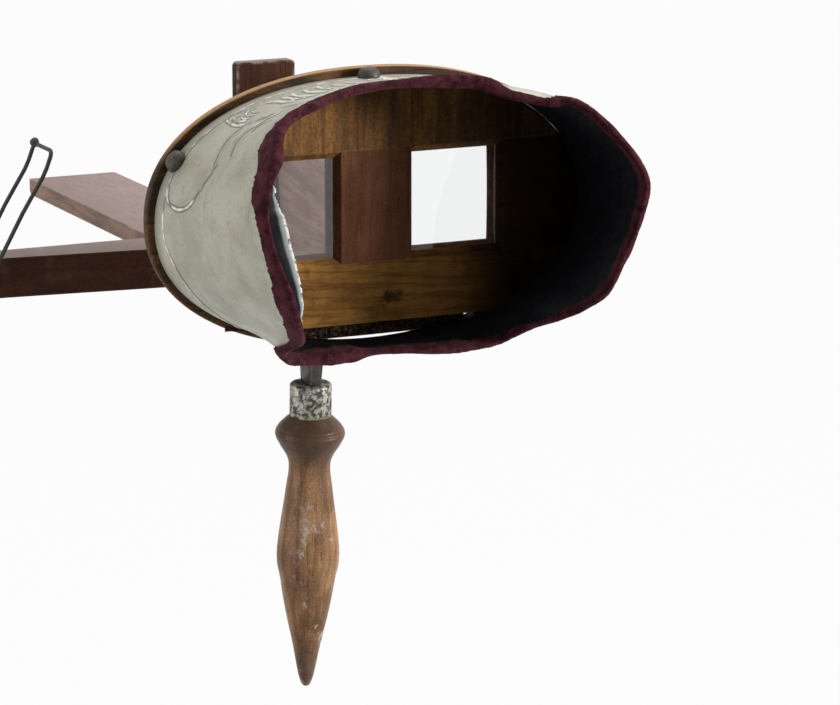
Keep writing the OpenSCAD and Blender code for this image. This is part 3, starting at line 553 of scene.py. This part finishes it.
# Lines of the pressed ornament on the right half, mirrored on the left. Each has its height in
# millimetres at both ends, below 0 where it is a groove, its width, and places on the sheet.
scroll_lines = [
    (0.54, 0.54, 0.44, [(0.0, 0.0), (2.0, 0.0), (3.5, 0.0), (5.2, 0.0), (6.1, 0.02),
                        (6.5, 0.03), (6.8, 0.06), (7.22, 0.08), (8.0, 0.09), (9.0, 0.08)]),
    (0.60, 0.26, 0.70, [(5.40, 0.01), (5.62, 0.03), (5.74, 0.07), (5.78, 0.16), (5.64, 0.24),
                        (5.32, 0.30), (4.90, 0.35), (4.60, 0.37)]),
    (-0.20, -0.59, 0.34, [(4.72, 0.375), (4.28, 0.335), (3.84, 0.335), (3.30, 0.42),
                          (3.02, 0.55), (2.70, 0.65), (2.30, 0.74)]),
    (0.26, 0.44, 0.34, [(4.62, 0.345), (4.28, 0.305), (3.84, 0.30), (3.36, 0.38),
                        (3.06, 0.51), (2.74, 0.61)]),
    (-0.20, -0.59, 0.34, [(4.52, 0.325), (4.02, 0.275), (3.62, 0.315), (3.16, 0.45),
                          (2.78, 0.57)]),
    (0.39, 0.52, 0.42, [(4.32, 0.46), (4.0, 0.42), (3.62, 0.46), (3.22, 0.57), (2.7, 0.70)]),
    (-0.26, -0.49, 0.30, [(4.28, 0.43), (4.0, 0.39), (3.62, 0.43), (3.26, 0.53), (2.8, 0.66)]),
    (0.33, 0.45, 0.36, [(3.56, 0.53), (3.26, 0.60), (2.98, 0.71)]),
    (0.59, 0.47, 0.66, [(3.44, 0.34), (3.56, 0.26), (3.58, 0.15), (3.50, 0.03), (3.30, 0.00),
                        (3.08, 0.03), (2.94, 0.06)]),
    (-0.47, -0.39, 0.34, [(3.42, 0.29), (3.48, 0.22), (3.48, 0.13), (3.38, 0.06), (3.24, 0.05)]),
    (0.55, 0.47, 0.50, [(3.30, 0.30), (3.40, 0.24), (3.40, 0.14), (3.30, 0.10), (3.20, 0.13)]),
    (0.52, 0.39, 0.50, [(3.18, 0.31), (3.26, 0.24), (3.20, 0.17), (3.10, 0.16)]),
    (0.52, 0.39, 0.50, [(3.02, 0.32), (3.10, 0.25), (3.04, 0.17), (2.92, 0.15)]),
    (0.52, 0.39, 0.46, [(2.86, 0.33), (2.92, 0.26), (2.86, 0.18), (2.74, 0.16)]),
    (0.44, 0.34, 0.40, [(3.04, 0.10), (2.90, 0.12), (2.76, 0.08), (2.60, 0.10)]),
    (0.72, 0.52, 0.85, [(2.42, 0.20), (2.30, 0.30), (2.27, 0.42), (2.14, 0.52)]),
    (0.72, 0.52, 0.85, [(2.14, 0.22), (2.08, 0.33), (2.06, 0.45), (1.93, 0.55)]),
    (0.72, 0.52, 0.85, [(1.92, 0.26), (1.90, 0.40), (1.86, 0.51), (1.74, 0.60)]),
    (0.72, 0.52, 0.85, [(1.64, 0.24), (1.66, 0.38), (1.61, 0.50), (1.50, 0.61)]),
    (0.65, 0.47, 0.75, [(1.38, 0.25), (1.40, 0.40), (1.34, 0.54)]),
    (0.65, 0.47, 0.75, [(1.10, 0.26), (1.12, 0.40), (1.08, 0.54)]),
    (0.65, 0.47, 0.75, [(0.82, 0.26), (0.84, 0.40), (0.82, 0.52)]),
    (-0.42, -0.52, 0.34, [(2.50, 0.50), (2.20, 0.64), (1.80, 0.69), (1.30, 0.67), (0.90, 0.64)]),
    (0.39, 0.44, 0.34, [(2.46, 0.58), (2.12, 0.71), (1.70, 0.74), (1.20, 0.73)]),
    (0.52, 0.52, 0.55, [(0.0, 0.18), (0.30, 0.26), (0.42, 0.42), (0.26, 0.58), (0.0, 0.66)]),
    (0.52, 0.52, 0.55, [(0.0, 0.32), (0.14, 0.42), (0.0, 0.52)]),
]
samples = []
for first, last, width, line in scroll_lines:
    line = [Vector(p) for p in line]
    line = [2 * line[0] - line[1], *line, 2 * line[-1] - line[-2]]
    spans = len(line) - 3
    for i in range(spans):
        for k in range(40):
            t, u = between(*line[i:i + 4], k / 40)
            height = first + (last - first) * (i + k / 40) / spans
            samples.append((on_hood(t, u), height / 1000, width / 1000))
lines_tree = kdtree.KDTree(len(samples))
for i, sample in enumerate(samples):
    lines_tree.insert(sample[0], i)
lines_tree.balance()


def pressed(p):
    """How far the sheet is pressed out at a place, or in where that is below 0."""
    found = lines_tree.find_range(Vector((abs(p.x), p.y, p.z)), 0.0024)
    worn_down = 0.8 + 0.8 * noise.noise(p * 320)
    rises = [samples[i][1] * worn_down * math.exp(-(d / samples[i][2]) ** 2)
             for _, i, d in found]
    return max([0.0, *rises]) + min([0.0, *rises])


columns, rows, band_rows, unevenness = 312, 50, 4, 0.00035
hood = flat_grid(columns, rows)
for vertex in hood.data.vertices:
    t = (vertex.co.x + 1) / 2 * around
    row = (vertex.co.y + 1) / 2 * rows
    u = row / band_rows - 1 if row < band_rows else (row - band_rows) / (rows - band_rows)
    p = on_hood(t, u)
    out = Vector((p.x, 0, p.z - eye_z - oval_z)).normalized()
    vertex.co = p + out * unevenness * min(max(u, 0.0) * 4, 1.0) * noise.noise(p * 38.0)
faces_out(weld=0.00001)

hood_metal, tree, shader, place = new_material("hood_aluminium", metallic=0.25,
                                               specular_ior_level=0.5)
blotches = cloudy(tree, place, 55.0, 7.0, 0.62, 0.5)
speckle = cloudy(tree, place, 900.0, 3.0, 0.7)
streaks = cloudy(tree, stretched(tree, place, (1.0, 1.0, 0.22)), 110.0, 5.0, 0.7)
browned = cloudy(tree, place, 90.0, 5.0, 0.7, 0.8)
spots = put(tree, "ShaderNodeTexVoronoi", {"Vector": place, "Scale": 130.0}).outputs["Distance"]
worn = placed(tree, rubbing, {"Vector": place, "Radius": 0.0012})["Rubbed"]
raised = put(tree, "ShaderNodeAttribute", attribute_name="relief").outputs["Fac"]
# Beside the pressed lines and in the grooves the sheet is darkened, dirt and painted shade
# together; the tops of the lines are painted pale, rubbing and a painted highlight together.
grime_and_painted_shade = joined(tree, "MULTIPLY", mask(tree, raised, 0.02, 0.12), mask(tree, raised, 0.5, 0.2))
grime_and_painted_shade = joined(tree, "MAXIMUM", grime_and_painted_shade, mask(tree, raised, -0.1, -0.5))
colour = blended(tree, mask(tree, blotches, 0.35, 0.68), shade(172, 170, 154),
                 shade(154, 151, 136))
for where, share, tint in (
        (mask(tree, streaks, 0.56, 0.74), 0.5, (120, 112, 96)),
        (mask(tree, spots, 0.12, 0.02), 0.35, (200, 200, 190)),
        (mask(tree, speckle, 0.52, 0.7), 0.5, (126, 122, 108)),
        (mask(tree, browned, 0.60, 0.72), 0.55, (132, 116, 92)),
        (worn, 0.6, (206, 206, 198)), (grime_and_painted_shade, 0.75, (72, 66, 54)),
        (mask(tree, raised, 0.35, 0.75), 0.8, (232, 230, 222))):
    colour = touched(tree, colour, where, share, tint)
dress(tree, shader, colour, mask(tree, blotches, 0.3, 0.7, 0.42, 0.58), speckle, 0.00006, 0.5)

black_paint, tree, shader, place = new_material("black_paint", specular_ior_level=0.12)
scuffs = cloudy(tree, place, 160.0, 6.0, 0.7)
colour = blended(tree, mask(tree, scuffs, 0.4, 0.75), shade(9, 11, 16), shade(20, 22, 28))
# A thin pale line at the upper right, where the sheet meets the lens frame, is a painted glint.
spot = put(tree, "ShaderNodeSeparateXYZ", {0: place}).outputs
painted_glint = mask(tree, scuffs, 0.40, 0.50)
for axis, low, high in (("X", 0.0590, 0.0625), ("Y", face_y - 0.0018, face_y - 0.0014),
                        ("Z", 0.070, 0.074)):
    painted_glint = joined(tree, "MULTIPLY", painted_glint, mask(tree, spot[axis], low, high))
colour = blended(tree, painted_glint, colour, shade(240, 230, 208))
dress(tree, shader, colour, mask(tree, scuffs, 0.3, 0.7, 0.5, 0.7), scuffs, 0.0001, 0.4)
hood.data.materials.append(hood_metal)
hood.data.materials.append(black_paint)
finish_with(hood, "SOLIDIFY", thickness=sheet_t, offset=-1.0, material_offset=1)

# The outer face is divided again where the ornament runs, and pressed out along its lines
line_reach = 0.0016
bpy.ops.object.mode_set(mode="EDIT")
bpy.ops.mesh.select_mode(type="FACE")
bpy.ops.mesh.select_all(action="DESELECT")
bpy.ops.object.mode_set(mode="OBJECT")
for face in hood.data.polygons:
    p = face.center
    far = lines_tree.find(Vector((abs(p.x), p.y, p.z)))[2]
    face.select = face.material_index == 0 and far < line_reach
bpy.ops.object.mode_set(mode="EDIT")
bpy.ops.mesh.subdivide(number_cuts=4)
bpy.ops.object.mode_set(mode="OBJECT")
outside = {i for face in hood.data.polygons if face.material_index == 0 for i in face.vertices}
relief = hood.data.attributes.new("relief", "FLOAT", "POINT")
normals = [vertex.normal.copy() for vertex in hood.data.vertices]
for i in outside:
    rise = pressed(hood.data.vertices[i].co)
    hood.data.vertices[i].co += normals[i] * rise
    relief.data[i].value = rise / 0.0006
smooth(hood, 60)
settle(hood, "hood_shell", "frame", [hood_metal, black_paint], ["hood"])


# The hem: the margin of the same sheet that was turned in at the left cheek. It has sprung
# out from under the velvet there, and its torn edge shows bright inside the mouth.
def edge_frame(t):
    """At the mouth: the place, the way out past the edge, and the way out of the hood."""
    p = on_hood(t, 1.0)
    run = (p - on_hood(t, 0.9)).normalized()
    ahead = (on_hood(t + 0.02, 1.0) - on_hood(t - 0.02, 1.0)).normalized()
    out = -ahead.cross(run).normalized()
    return p - out * sheet_t / 2, run, out


def along_mouth(t, table):
    """A value given at some places round the mouth, eased between them."""
    t = t % around
    for (t0, v0), (t1, v1) in zip(table, table[1:]):
        if t0 <= t <= t1:
            share = (t - t0) / (t1 - t0)
            return v0 + (v1 - v0) * share * share * (3 - 2 * share)
    return table[-1][1]


hem_width = [(17.2, 0.0), (17.8, 3.4), (18.4, 6.2), (19.0, 8.4), (19.5, 9.8), (20.0, 10.4),
             (20.5, 9.8), (21.0, 7.4), (21.4, 4.0), (21.6, 0.0)]
hem_rows = 12
hem = flat_grid(120, hem_rows)
hem_shade_ramp = hem.data.attributes.new("bare", "FLOAT", "POINT")
for vertex in hem.data.vertices:
    t = hem_width[0][0] + (vertex.co.x + 1) / 2 * (hem_width[-1][0] - hem_width[0][0])
    across = (vertex.co.y + 1) / 2
    p, run, out = edge_frame(t)
    tear = 0.6 * noise.noise(Vector((t * 9, 3.0, 0))) + 0.5 * noise.noise(Vector((t * 24, 9.0, 0)))
    width = max(along_mouth(t, hem_width) + tear * across ** 6, 0.2) / 1000
    place = p - run * 0.0022 - out * 0.0006
    for k in range(round(across * hem_rows)):
        turn = math.radians(48 + 52 * (k + 0.5) / hem_rows)
        place -= (run * math.cos(turn) + out * math.sin(turn)) * width / hem_rows
    vertex.co = place
    hem_shade_ramp.data[vertex.index].value = across
faces_out()
finish_with(hem, "SOLIDIFY", thickness=0.0004, offset=0.0)
smooth(hem, 40)
# The bare value runs across the hem: black by the velvet is painted shade, grey rising to bright
# at the torn edge is a painted reflection of the curled metal, and the rust near the edge is its
# own.
bright_metal, tree, shader, place = new_material("bright_aluminium", specular_ior_level=0.05)
rust = cloudy(tree, place, 420.0, 5.0, 0.7)
bare = put(tree, "ShaderNodeAttribute", attribute_name="bare").outputs["Fac"]
rusty = joined(tree, "MULTIPLY", mask(tree, rust, 0.5, 0.58), mask(tree, bare, 0.88, 0.95))
colour = blended(tree, mask(tree, bare, 0.86, 0.96), shade(136, 142, 142), shade(228, 226, 216))
colour = blended(tree, rusty, colour, shade(64, 46, 32))
colour = blended(tree, mask(tree, bare, 0.84, 0.66), colour, shade(5, 7, 10))
dress(tree, shader, colour, mask(tree, rust, 0.3, 0.7, 0.3, 0.55), rust, 0.0001, 0.5)
settle(hem, "hood_hem", "frame", [bright_metal])

# The velvet binding: a strip of maroon velvet folded over the cut edge of the hood and glued
# to both faces, puffy at the fold, its laps cut by hand and gathered where the mouth turns.
binding = flat_grid(620, 26)


def ripple(along, across, scale, seed):
    """Smooth unevenness that closes round the mouth."""
    angle = along * 2 * math.pi
    return noise.noise(Vector((scale * math.cos(angle), scale * math.sin(angle),
                               seed + across)))


def hump(along, centre, width):
    """1 at a place round the mouth, falling to 0 on both sides of it."""
    off = (along * around - centre + around / 2) % around - around / 2
    return math.exp(-(off / width) ** 2)


# The laps' widths in millimetres outside and inside, how far the inside puffs out, and the
# puffs at single places: the place, its width and its height in millimetres
outer_lap = [(0, 6.4), (1.3, 6.4), (1.6, 3.2), (1.8, 1.8), (2.5, 1.8), (2.9, 6.0), (9, 6.4),
             (13, 6.0), (16.4, 8.0), (17.2, 9.0), (18.2, 8.5), (18.85, 9.0), (19.35, 7.0),
             (19.75, 5.6), (20.3, 5.4), (20.7, 7.0), (21.2, 10.5), (21.6, 10.5), (22.0, 14.0),
             (22.35, 12.0), (22.8, 7.0), (23.2, 5.2), (24.2, 6.4), (26, 6.4)]
inner_lap = [(0, 5.4), (1.6, 5.4), (2.2, 6.6), (3.0, 5.0), (8, 4.6), (11, 3.2), (13.2, 3.2),
             (14, 6.6), (16, 6.0), (18, 3.0), (21, 3.0), (21.7, 4.5), (22.2, 8.5), (22.8, 6.0),
             (26, 5.4)]
inner_puff = [(0, 0.85), (9.8, 0.8), (11, 0.3), (13.2, 0.4), (13.8, 0.9), (15, 0.85),
              (17.5, 0.5), (21.4, 0.5), (22, 1.25), (22.5, 0.9), (26, 0.85)]
puffs = [(14.0, 0.4, 1.3), (16.3, 0.5, 0.8), (22.1, 0.35, 0.7), (20.2, 0.8, -0.3),
         (1.45, 0.25, 0.8), (13.62, 0.16, 1.0), (0.9, 0.7, 1.1), (11.8, 0.8, 1.4)]
fold = 0.0021
arc = math.pi * fold
for vertex in binding.data.vertices:
    along = (vertex.co.x + 1) / 2
    across = vertex.co.y
    t = along * around
    p, run, out = edge_frame(t)
    puff = 0.0017 + 0.0004 * ripple(along, 0.0, 9.0, 2.0) + sum(
        height / 1000 * hump(along, centre, width) for centre, width, height in puffs)
    lap = along_mouth(t, outer_lap if across > 0 else inner_lap) / 1000
    lap += 0.0010 * ripple(along, across * 0.1, 14.0, 5.0) \
        + 0.0010 * ripple(along, across * 0.1, 62.0, 7.0) \
        + 0.0012 * max(ripple(along, 0.0, 130.0, 21.0) - 0.1, 0.0)
    if across < 0:
        puff *= along_mouth(t, inner_puff)
    place_across = across * (lap + arc / 2)
    if abs(place_across) <= arc / 2:
        turn = place_across / fold
        step, rise = fold * math.cos(turn), puff * math.sin(turn) * 1.02
    else:
        rest = abs(place_across) - arc / 2
        shrink = 1.0 - 0.45 * (rest / lap) ** 2
        step, rise = -rest, math.copysign(puff * shrink, across)
    wrinkle = 0.00030 * ripple(along, across * 1.2, 46.0, 11.0) \
        + 0.00026 * ripple(along, across * 3.0, 95.0, 17.0)
    rise += math.copysign(wrinkle, across) if abs(place_across) > arc / 2 else 0.0
    vertex.co = p + run * (step + wrinkle - 0.0004) + out * rise
faces_out(weld=0.00001)
finish_with(binding, "SOLIDIFY", thickness=0.0007, offset=-1.0)
smooth(binding, 60)
velvet, tree, shader, place = new_material(
    "maroon_velvet", sheen_weight=0.16, sheen_roughness=0.35,
    sheen_tint=(0.60, 0.36, 0.40, 1.0), specular_ior_level=0.03)
pile = cloudy(tree, place, 1700.0, 3.0, 0.75)
crush = cloudy(tree, place, 210.0, 5.0, 0.6, 0.6)
colour = blended(tree, mask(tree, crush, 0.34, 0.66), shade(44, 18, 23), shade(82, 40, 47))
colour = touched(tree, colour, mask(tree, pile, 0.5, 0.75), 0.5, (112, 66, 72))
dress(tree, shader, colour, mask(tree, crush, 0.3, 0.7, 0.95, 0.8),
      joined(tree, "ADD", pile, crush), 0.0007, 0.9)
settle(binding, "hood_velvet", "frame", [velvet], ["hood_binding"])


# The tacks: three iron tacks with broad domed heads, driven through the hood into the lens
# frame. The domes are dull, browned and a little greasy.
def old_iron(name, pale, dark, metallic):
    material, tree, shader, place = new_material(name, metallic=metallic)
    skin = cloudy(tree, place, 520.0, 6.0, 0.65)
    colour = blended(tree, mask(tree, skin, 0.36, 0.64), shade(*dark), shade(*pale))
    dress(tree, shader, colour, mask(tree, skin, 0.3, 0.7, 0.5, 0.7), skin, 0.00012, 0.5)
    return material


tack_iron = old_iron("browned_iron", (68, 65, 56), (46, 44, 38), 0.35)


def turned(stations, sides=96):
    """A piece turned round the Z axis: a disc drawn out ring by ring."""
    radius, z = stations[0]
    bpy.ops.mesh.primitive_circle_add(vertices=sides, radius=radius, fill_type="NGON")
    piece = bpy.context.object
    bpy.ops.object.mode_set(mode="EDIT")
    bpy.ops.mesh.select_all(action="SELECT")
    bpy.ops.transform.translate(value=(0, 0, z))
    for (r0, z0), (r1, z1) in zip(stations, stations[1:]):
        bpy.ops.mesh.extrude_region_move(TRANSFORM_OT_translate={"value": (0, 0, z1 - z0)})
        bpy.ops.transform.resize(value=(r1 / r0, r1 / r0, 1), center_override=(0, 0, z1))
    bpy.ops.object.mode_set(mode="OBJECT")
    faces_out()
    return piece


tack_r, tack_rise, tack_inset = 0.0042, 0.0038, 0.0023
dome = [(tack_r * 0.97, -0.0003), (tack_r, 0.0002)]
dome += [(tack_r * math.cos(math.radians(a)) ** 0.8,
          0.0002 + tack_rise * math.sin(math.radians(a)) ** 0.8)
         for a in (4, 10, 17, 25, 34, 43, 52, 61, 70, 79, 86, 89)]
heads = []
for degrees in (91.6, 17.4, 163.0):
    around_tack = [base(Vector((math.cos(a), 0, oval_z + math.sin(a))))
                   for a in (math.radians(degrees + turn) for turn in (-1, 0, 1))]
    along = (around_tack[2] - around_tack[0]).normalized()
    out = Vector((0, 1, 0)).cross(along)
    head = turned(dome, 40)
    for vertex in head.data.vertices:
        vertex.co *= 1.0 + 0.04 * noise.noise(vertex.co * 500 + Vector((degrees, 0, 0)))
    middle = around_tack[1] + Vector((0, face_y + tack_inset, eye_z))
    head.data.transform(Matrix.Translation(middle)
                        @ out.to_track_quat("Z", "Y").to_matrix().to_4x4())
    heads.append(head)
for head in heads:
    head.select_set(True)
bpy.ops.object.join()
smooth(heads[-1], 50)
settle(heads[-1], "tack_heads", "frame", [tack_iron], ["hood_tacks"])


# The septum: an upright board between the two pictures, let into the rim board, and a slat
# nailed across its far end. Two screws come up through the shaft into the slat's foot.
def refinish(node, material):
    """A CAD node whose shape is right keeps it and takes a better material."""
    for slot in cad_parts[node].material_slots:
        slot.material = material


stem_wood = wood("stem_wood", Y_GRAIN, (164, 136, 126), (126, 100, 90), (84, 62, 56),
                 (182, 160, 150), figure=0.8, lines=0.8, size=1.5, stain=(100, 76, 68))
slat_wood = wood("slat_wood", Z_GRAIN, (74, 42, 26), (46, 25, 15), (30, 17, 12),
                 (174, 156, 146), dust_and_top_light=(150, 132, 124), figure=0.7, lines=0.45, stained=0.4,
                 gloss=0.06, rubbed=0.85, rub_reach=0.0022)
eased("septum_stem", "septum_board", "frame", stem_wood, 0.0004, 2)
eased("septum_slat", "septum_cross_slat", "frame", slat_wood, 0.0009)
refinish("septum_nails", tack_iron)

# The handle's iron work: a bent strap with two ears screwed under the shaft, a riveted pin,
# and a flat tang that turns between the ears and runs down into the grip as a spike.
steel, tree, shader, place = new_material("dull_steel", metallic=0.75)
tarnish = cloudy(tree, place, 260.0, 7.0, 0.66, 0.4)
worn = placed(tree, rubbing, {"Vector": place, "Radius": 0.0009})["Rubbed"]
colour = blended(tree, mask(tree, tarnish, 0.36, 0.62), shade(70, 66, 61), shade(40, 38, 36))
colour = touched(tree, colour, worn, 0.8, (132, 130, 126))
dress(tree, shader, colour, mask(tree, tarnish, 0.3, 0.7, 0.34, 0.6), tarnish, 0.00012, 0.5)
for node in ("septum_screws", "bracket_screws", "hinge_pin", "keeper_screws"):
    refinish(node, steel)
eased("handle_bracket", "handle_strap", "frame", steel, 0.0003, 2)
eased("handle_tang", "handle_tang_plate", "handle", steel, 0.0004, 2)

# The ferrule: a short tube of tinned iron closed over at the top, pushed on the grip's
# spigot. Its tin has gone mottled, grey and yellowish between dark spots.
ferrule = planed("ferrule")
finish_with(ferrule, "BEVEL", width=0.0002, segments=2, limit_method="ANGLE",
            angle_limit=math.radians(50), use_clamp_overlap=True)
smooth(ferrule)
tin, tree, shader, place = new_material("mottled_tin", metallic=0.55)
flakes = cloudy(tree, place, 380.0, 8.0, 0.72, 0.8)
clouds = cloudy(tree, place, 190.0, 4.0)
colour = blended(tree, mask(tree, flakes, 0.44, 0.58), shade(58, 56, 52), shade(168, 166, 156))
colour = touched(tree, colour, mask(tree, clouds, 0.52, 0.66), 0.55, (150, 142, 106))
dress(tree, shader, colour, mask(tree, flakes, 0.35, 0.65, 0.7, 0.38), flakes, 0.0002, 0.6)
settle(ferrule, "handle_ferrule", "handle", [tin], ["ferrule"])

# The grip: a turned hardwood handle with a bulging shoulder, a waist, a long swelling and a
# blunt tip. Fine lines are cut round the shoulder, and the stain is rubbed through below.
hinge_z, lean = -0.014, math.radians(3.2)
handle_place = Matrix.Translation((0, 0, hinge_z)) @ Matrix.Rotation(lean, 4, "X")
grip_top, grip_l = -0.0305, 0.112
cut_depth, cut_width = 0.00018, 0.0022
neck_r, shoulder_r, swell_r, tip_r = 0.00815, 0.0137, 0.0123, 0.0020
grip_keys = [
    (neck_r, 0.0), (shoulder_r - 0.0015, 0.035), (shoulder_r, 0.065),
    (shoulder_r - 0.0016, 0.10), (neck_r + 0.0007, 0.15), (neck_r, 0.195),
    (neck_r + 0.0012, 0.28), (swell_r, 0.495), (swell_r - 0.0015, 0.60),
    (swell_r - 0.0038, 0.72), (neck_r - 0.0026, 0.84), (tip_r + 0.0012, 0.95), (tip_r, 0.985)]
outline = [Vector((r, grip_top - share * grip_l)) for r, share in grip_keys]
outline = [outline[0], *outline, outline[-1]]
stations = [(neck_r - 0.0011, grip_top + 0.0105), (neck_r - 0.0009, grip_top + 0.0004)]
for i in range(1, len(outline) - 2):
    for k in range(12):
        r, z = between(*outline[i - 1:i + 3], k / 12)
        share = (grip_top - z) / grip_l
        cut = sum(cut_depth * math.exp(-((share - line) / cut_width) ** 2)
                  for line in (0.045, 0.058, 0.072, 0.086, 0.098))
        stations.append((r - cut, z))
stations += [(tip_r, grip_top - 0.985 * grip_l), (tip_r * 0.80, grip_top - 0.993 * grip_l),
             (tip_r * 0.45, grip_top - 0.998 * grip_l), (tip_r * 0.05, grip_top - grip_l)]
grip = turned(stations)
grip.data.transform(handle_place)
smooth(grip, 50)
grip_wood, tree, shader, place = new_material("grip_wood", specular_ior_level=0.12)
fibre = placed(tree, grain, {
    "Vector": stretched(tree, place, (1.0, 1.0, 1.0), Z_GRAIN), "Pale": shade(164, 124, 88),
    "Dark": shade(98, 70, 50), "Pore": shade(62, 42, 32), "Figure": 0.9, "Lines": 0.5})
used = placed(tree, handling, {"Vector": place})
height = put(tree, "ShaderNodeSeparateXYZ", {0: place}).outputs["Z"]
bare = mask(tree, height, -0.060, -0.100)
for scraped in (mask(tree, cloudy(tree, place, 95.0, 3.0, 0.6, 0.4), 0.56, 0.68),
                mask(tree, cloudy(tree, place, 620.0, 4.0, 0.7), 0.40, 0.56)):
    bare = joined(tree, "MULTIPLY", bare, scraped)
colour = fibre["Color"]
for where, share, tint in ((mask(tree, height, -0.072, -0.056), 0.8, (66, 51, 44)),
                           (mask(tree, height, -0.130, -0.158), 0.6, (96, 80, 74)),
                           (bare, 0.75, (204, 192, 184)), (used["Stain"], 0.4, (66, 46, 38))):
    colour = touched(tree, colour, where, share, tint)
dress(tree, shader, colour, mask(tree, used["Stain"], 0.0, 1.0, 0.36, 0.55), fibre["Height"],
      0.00015, 0.5)
settle(grip, "turned_grip", "handle", [grip_wood], ["grip"])

# The card holder: a crossbar notched over the shaft and thickened towards its middle, closed
# below by a screwed-on keeper. A bowed leaf spring in the keeper presses on the shaft.
bar_wood = wood("bar_wood", X_GRAIN, (80, 47, 31), (50, 29, 20), (32, 19, 14),
                (120, 96, 80), dust_and_top_light=(142, 126, 120), figure=0.7, lines=0.4,
                stain=(98, 68, 48), stained=0.55)
eased("crossbar", "holder_crossbar", "card_holder", bar_wood, 0.0008)
eased("keeper", "holder_keeper", "card_holder", bar_wood, 0.0005, 2)
spring_metal, tree, shader, place = new_material("spring_brass", metallic=0.85)
dull = cloudy(tree, place, 300.0, 5.0)
colour = blended(tree, mask(tree, dull, 0.35, 0.65), shade(168, 140, 82), shade(120, 98, 62))
dress(tree, shader, colour, mask(tree, dull, 0.3, 0.7, 0.3, 0.5))
refinish("friction_spring", spring_metal)

# The card clips: one iron wire each, bent into a tall loop whose ends turn in the crossbar.
# The loops lean inwards and stand up a little straighter near the top, where a solder bead
# closes the far corner.
wire_r, wire_bend, clip_lean = 0.00085, 0.0025, math.radians(30.5)
leg_l, half_gap = 0.057, 0.0105
pivot_x, pivot_y, pivot_z = 0.1025, 0.094, 0.0023
pin_start, kink_z, kink, bead_r = 0.0020, 0.0480, math.radians(9), 0.0019
bend = [i / 7 * math.pi / 2 for i in range(8)]
half_loop = [(-pin_start, 0.0)]
half_loop += [(-half_gap + wire_bend - wire_bend * math.sin(a),
               wire_bend - wire_bend * math.cos(a)) for a in bend]
half_loop += [(-half_gap, z) for z in (0.010, 0.020, 0.030, 0.040, 0.046, 0.050)]
half_loop += [(-half_gap + wire_bend - wire_bend * math.cos(a),
               leg_l - wire_bend + wire_bend * math.sin(a)) for a in bend]
loop = half_loop + [(-y, z) for y, z in half_loop[::-1]]


def on_bar(p, sign):
    """A place on a clip, leant over and set on its pivot at the crossbar's left or right."""
    p = Matrix.Rotation(clip_lean, 3, "Y") @ p
    return Vector((sign * (pivot_x - p.x), p.y + pivot_y, p.z + pivot_z))


wire_iron = old_iron("blackened_wire", (60, 60, 58), (36, 35, 34), 0.3)
for side, sign in (("left", -1), ("right", 1)):
    curve = bpy.data.curves.new(side + "_wire_line", "CURVE")
    curve.dimensions = "3D"
    curve.bevel_depth = wire_r
    curve.bevel_resolution = 4
    curve.use_fill_caps = True
    line = curve.splines.new("POLY")
    line.points.add(len(loop) - 1)
    for point, (y, z) in zip(line.points, loop):
        x = 0.00025 * math.sin(z * 160) - max(z - kink_z, 0.0) * math.tan(kink)
        point.co = (*on_bar(Vector((x, y, z)), sign), 1)
    wire = bpy.data.objects.new(side + "_wire", curve)
    scene.collection.objects.link(wire)
    only(wire)
    bpy.ops.object.convert(target="MESH")
    wire = bpy.context.object
    corner = on_bar(Vector((-(leg_l - kink_z) * math.tan(kink) - 0.0006, half_gap - 0.0018,
                            leg_l + 0.0004)), sign)
    bpy.ops.object.select_all(action="DESELECT")
    bpy.ops.mesh.primitive_uv_sphere_add(segments=24, ring_count=14, radius=bead_r)
    bead = bpy.context.object
    for vertex in bead.data.vertices:
        vertex.co = vertex.co * (1.0 + 0.16 * noise.noise(vertex.co * 700)) + corner
    bead.select_set(True)
    wire.select_set(True)
    bpy.context.view_layer.objects.active = wire
    bpy.ops.object.join()
    only(wire)
    faces_out()
    smooth(wire, 60)
    settle(wire, side + "_card_clip", side + "_clip", [wire_iron],
           [side + "_clip_wire"])
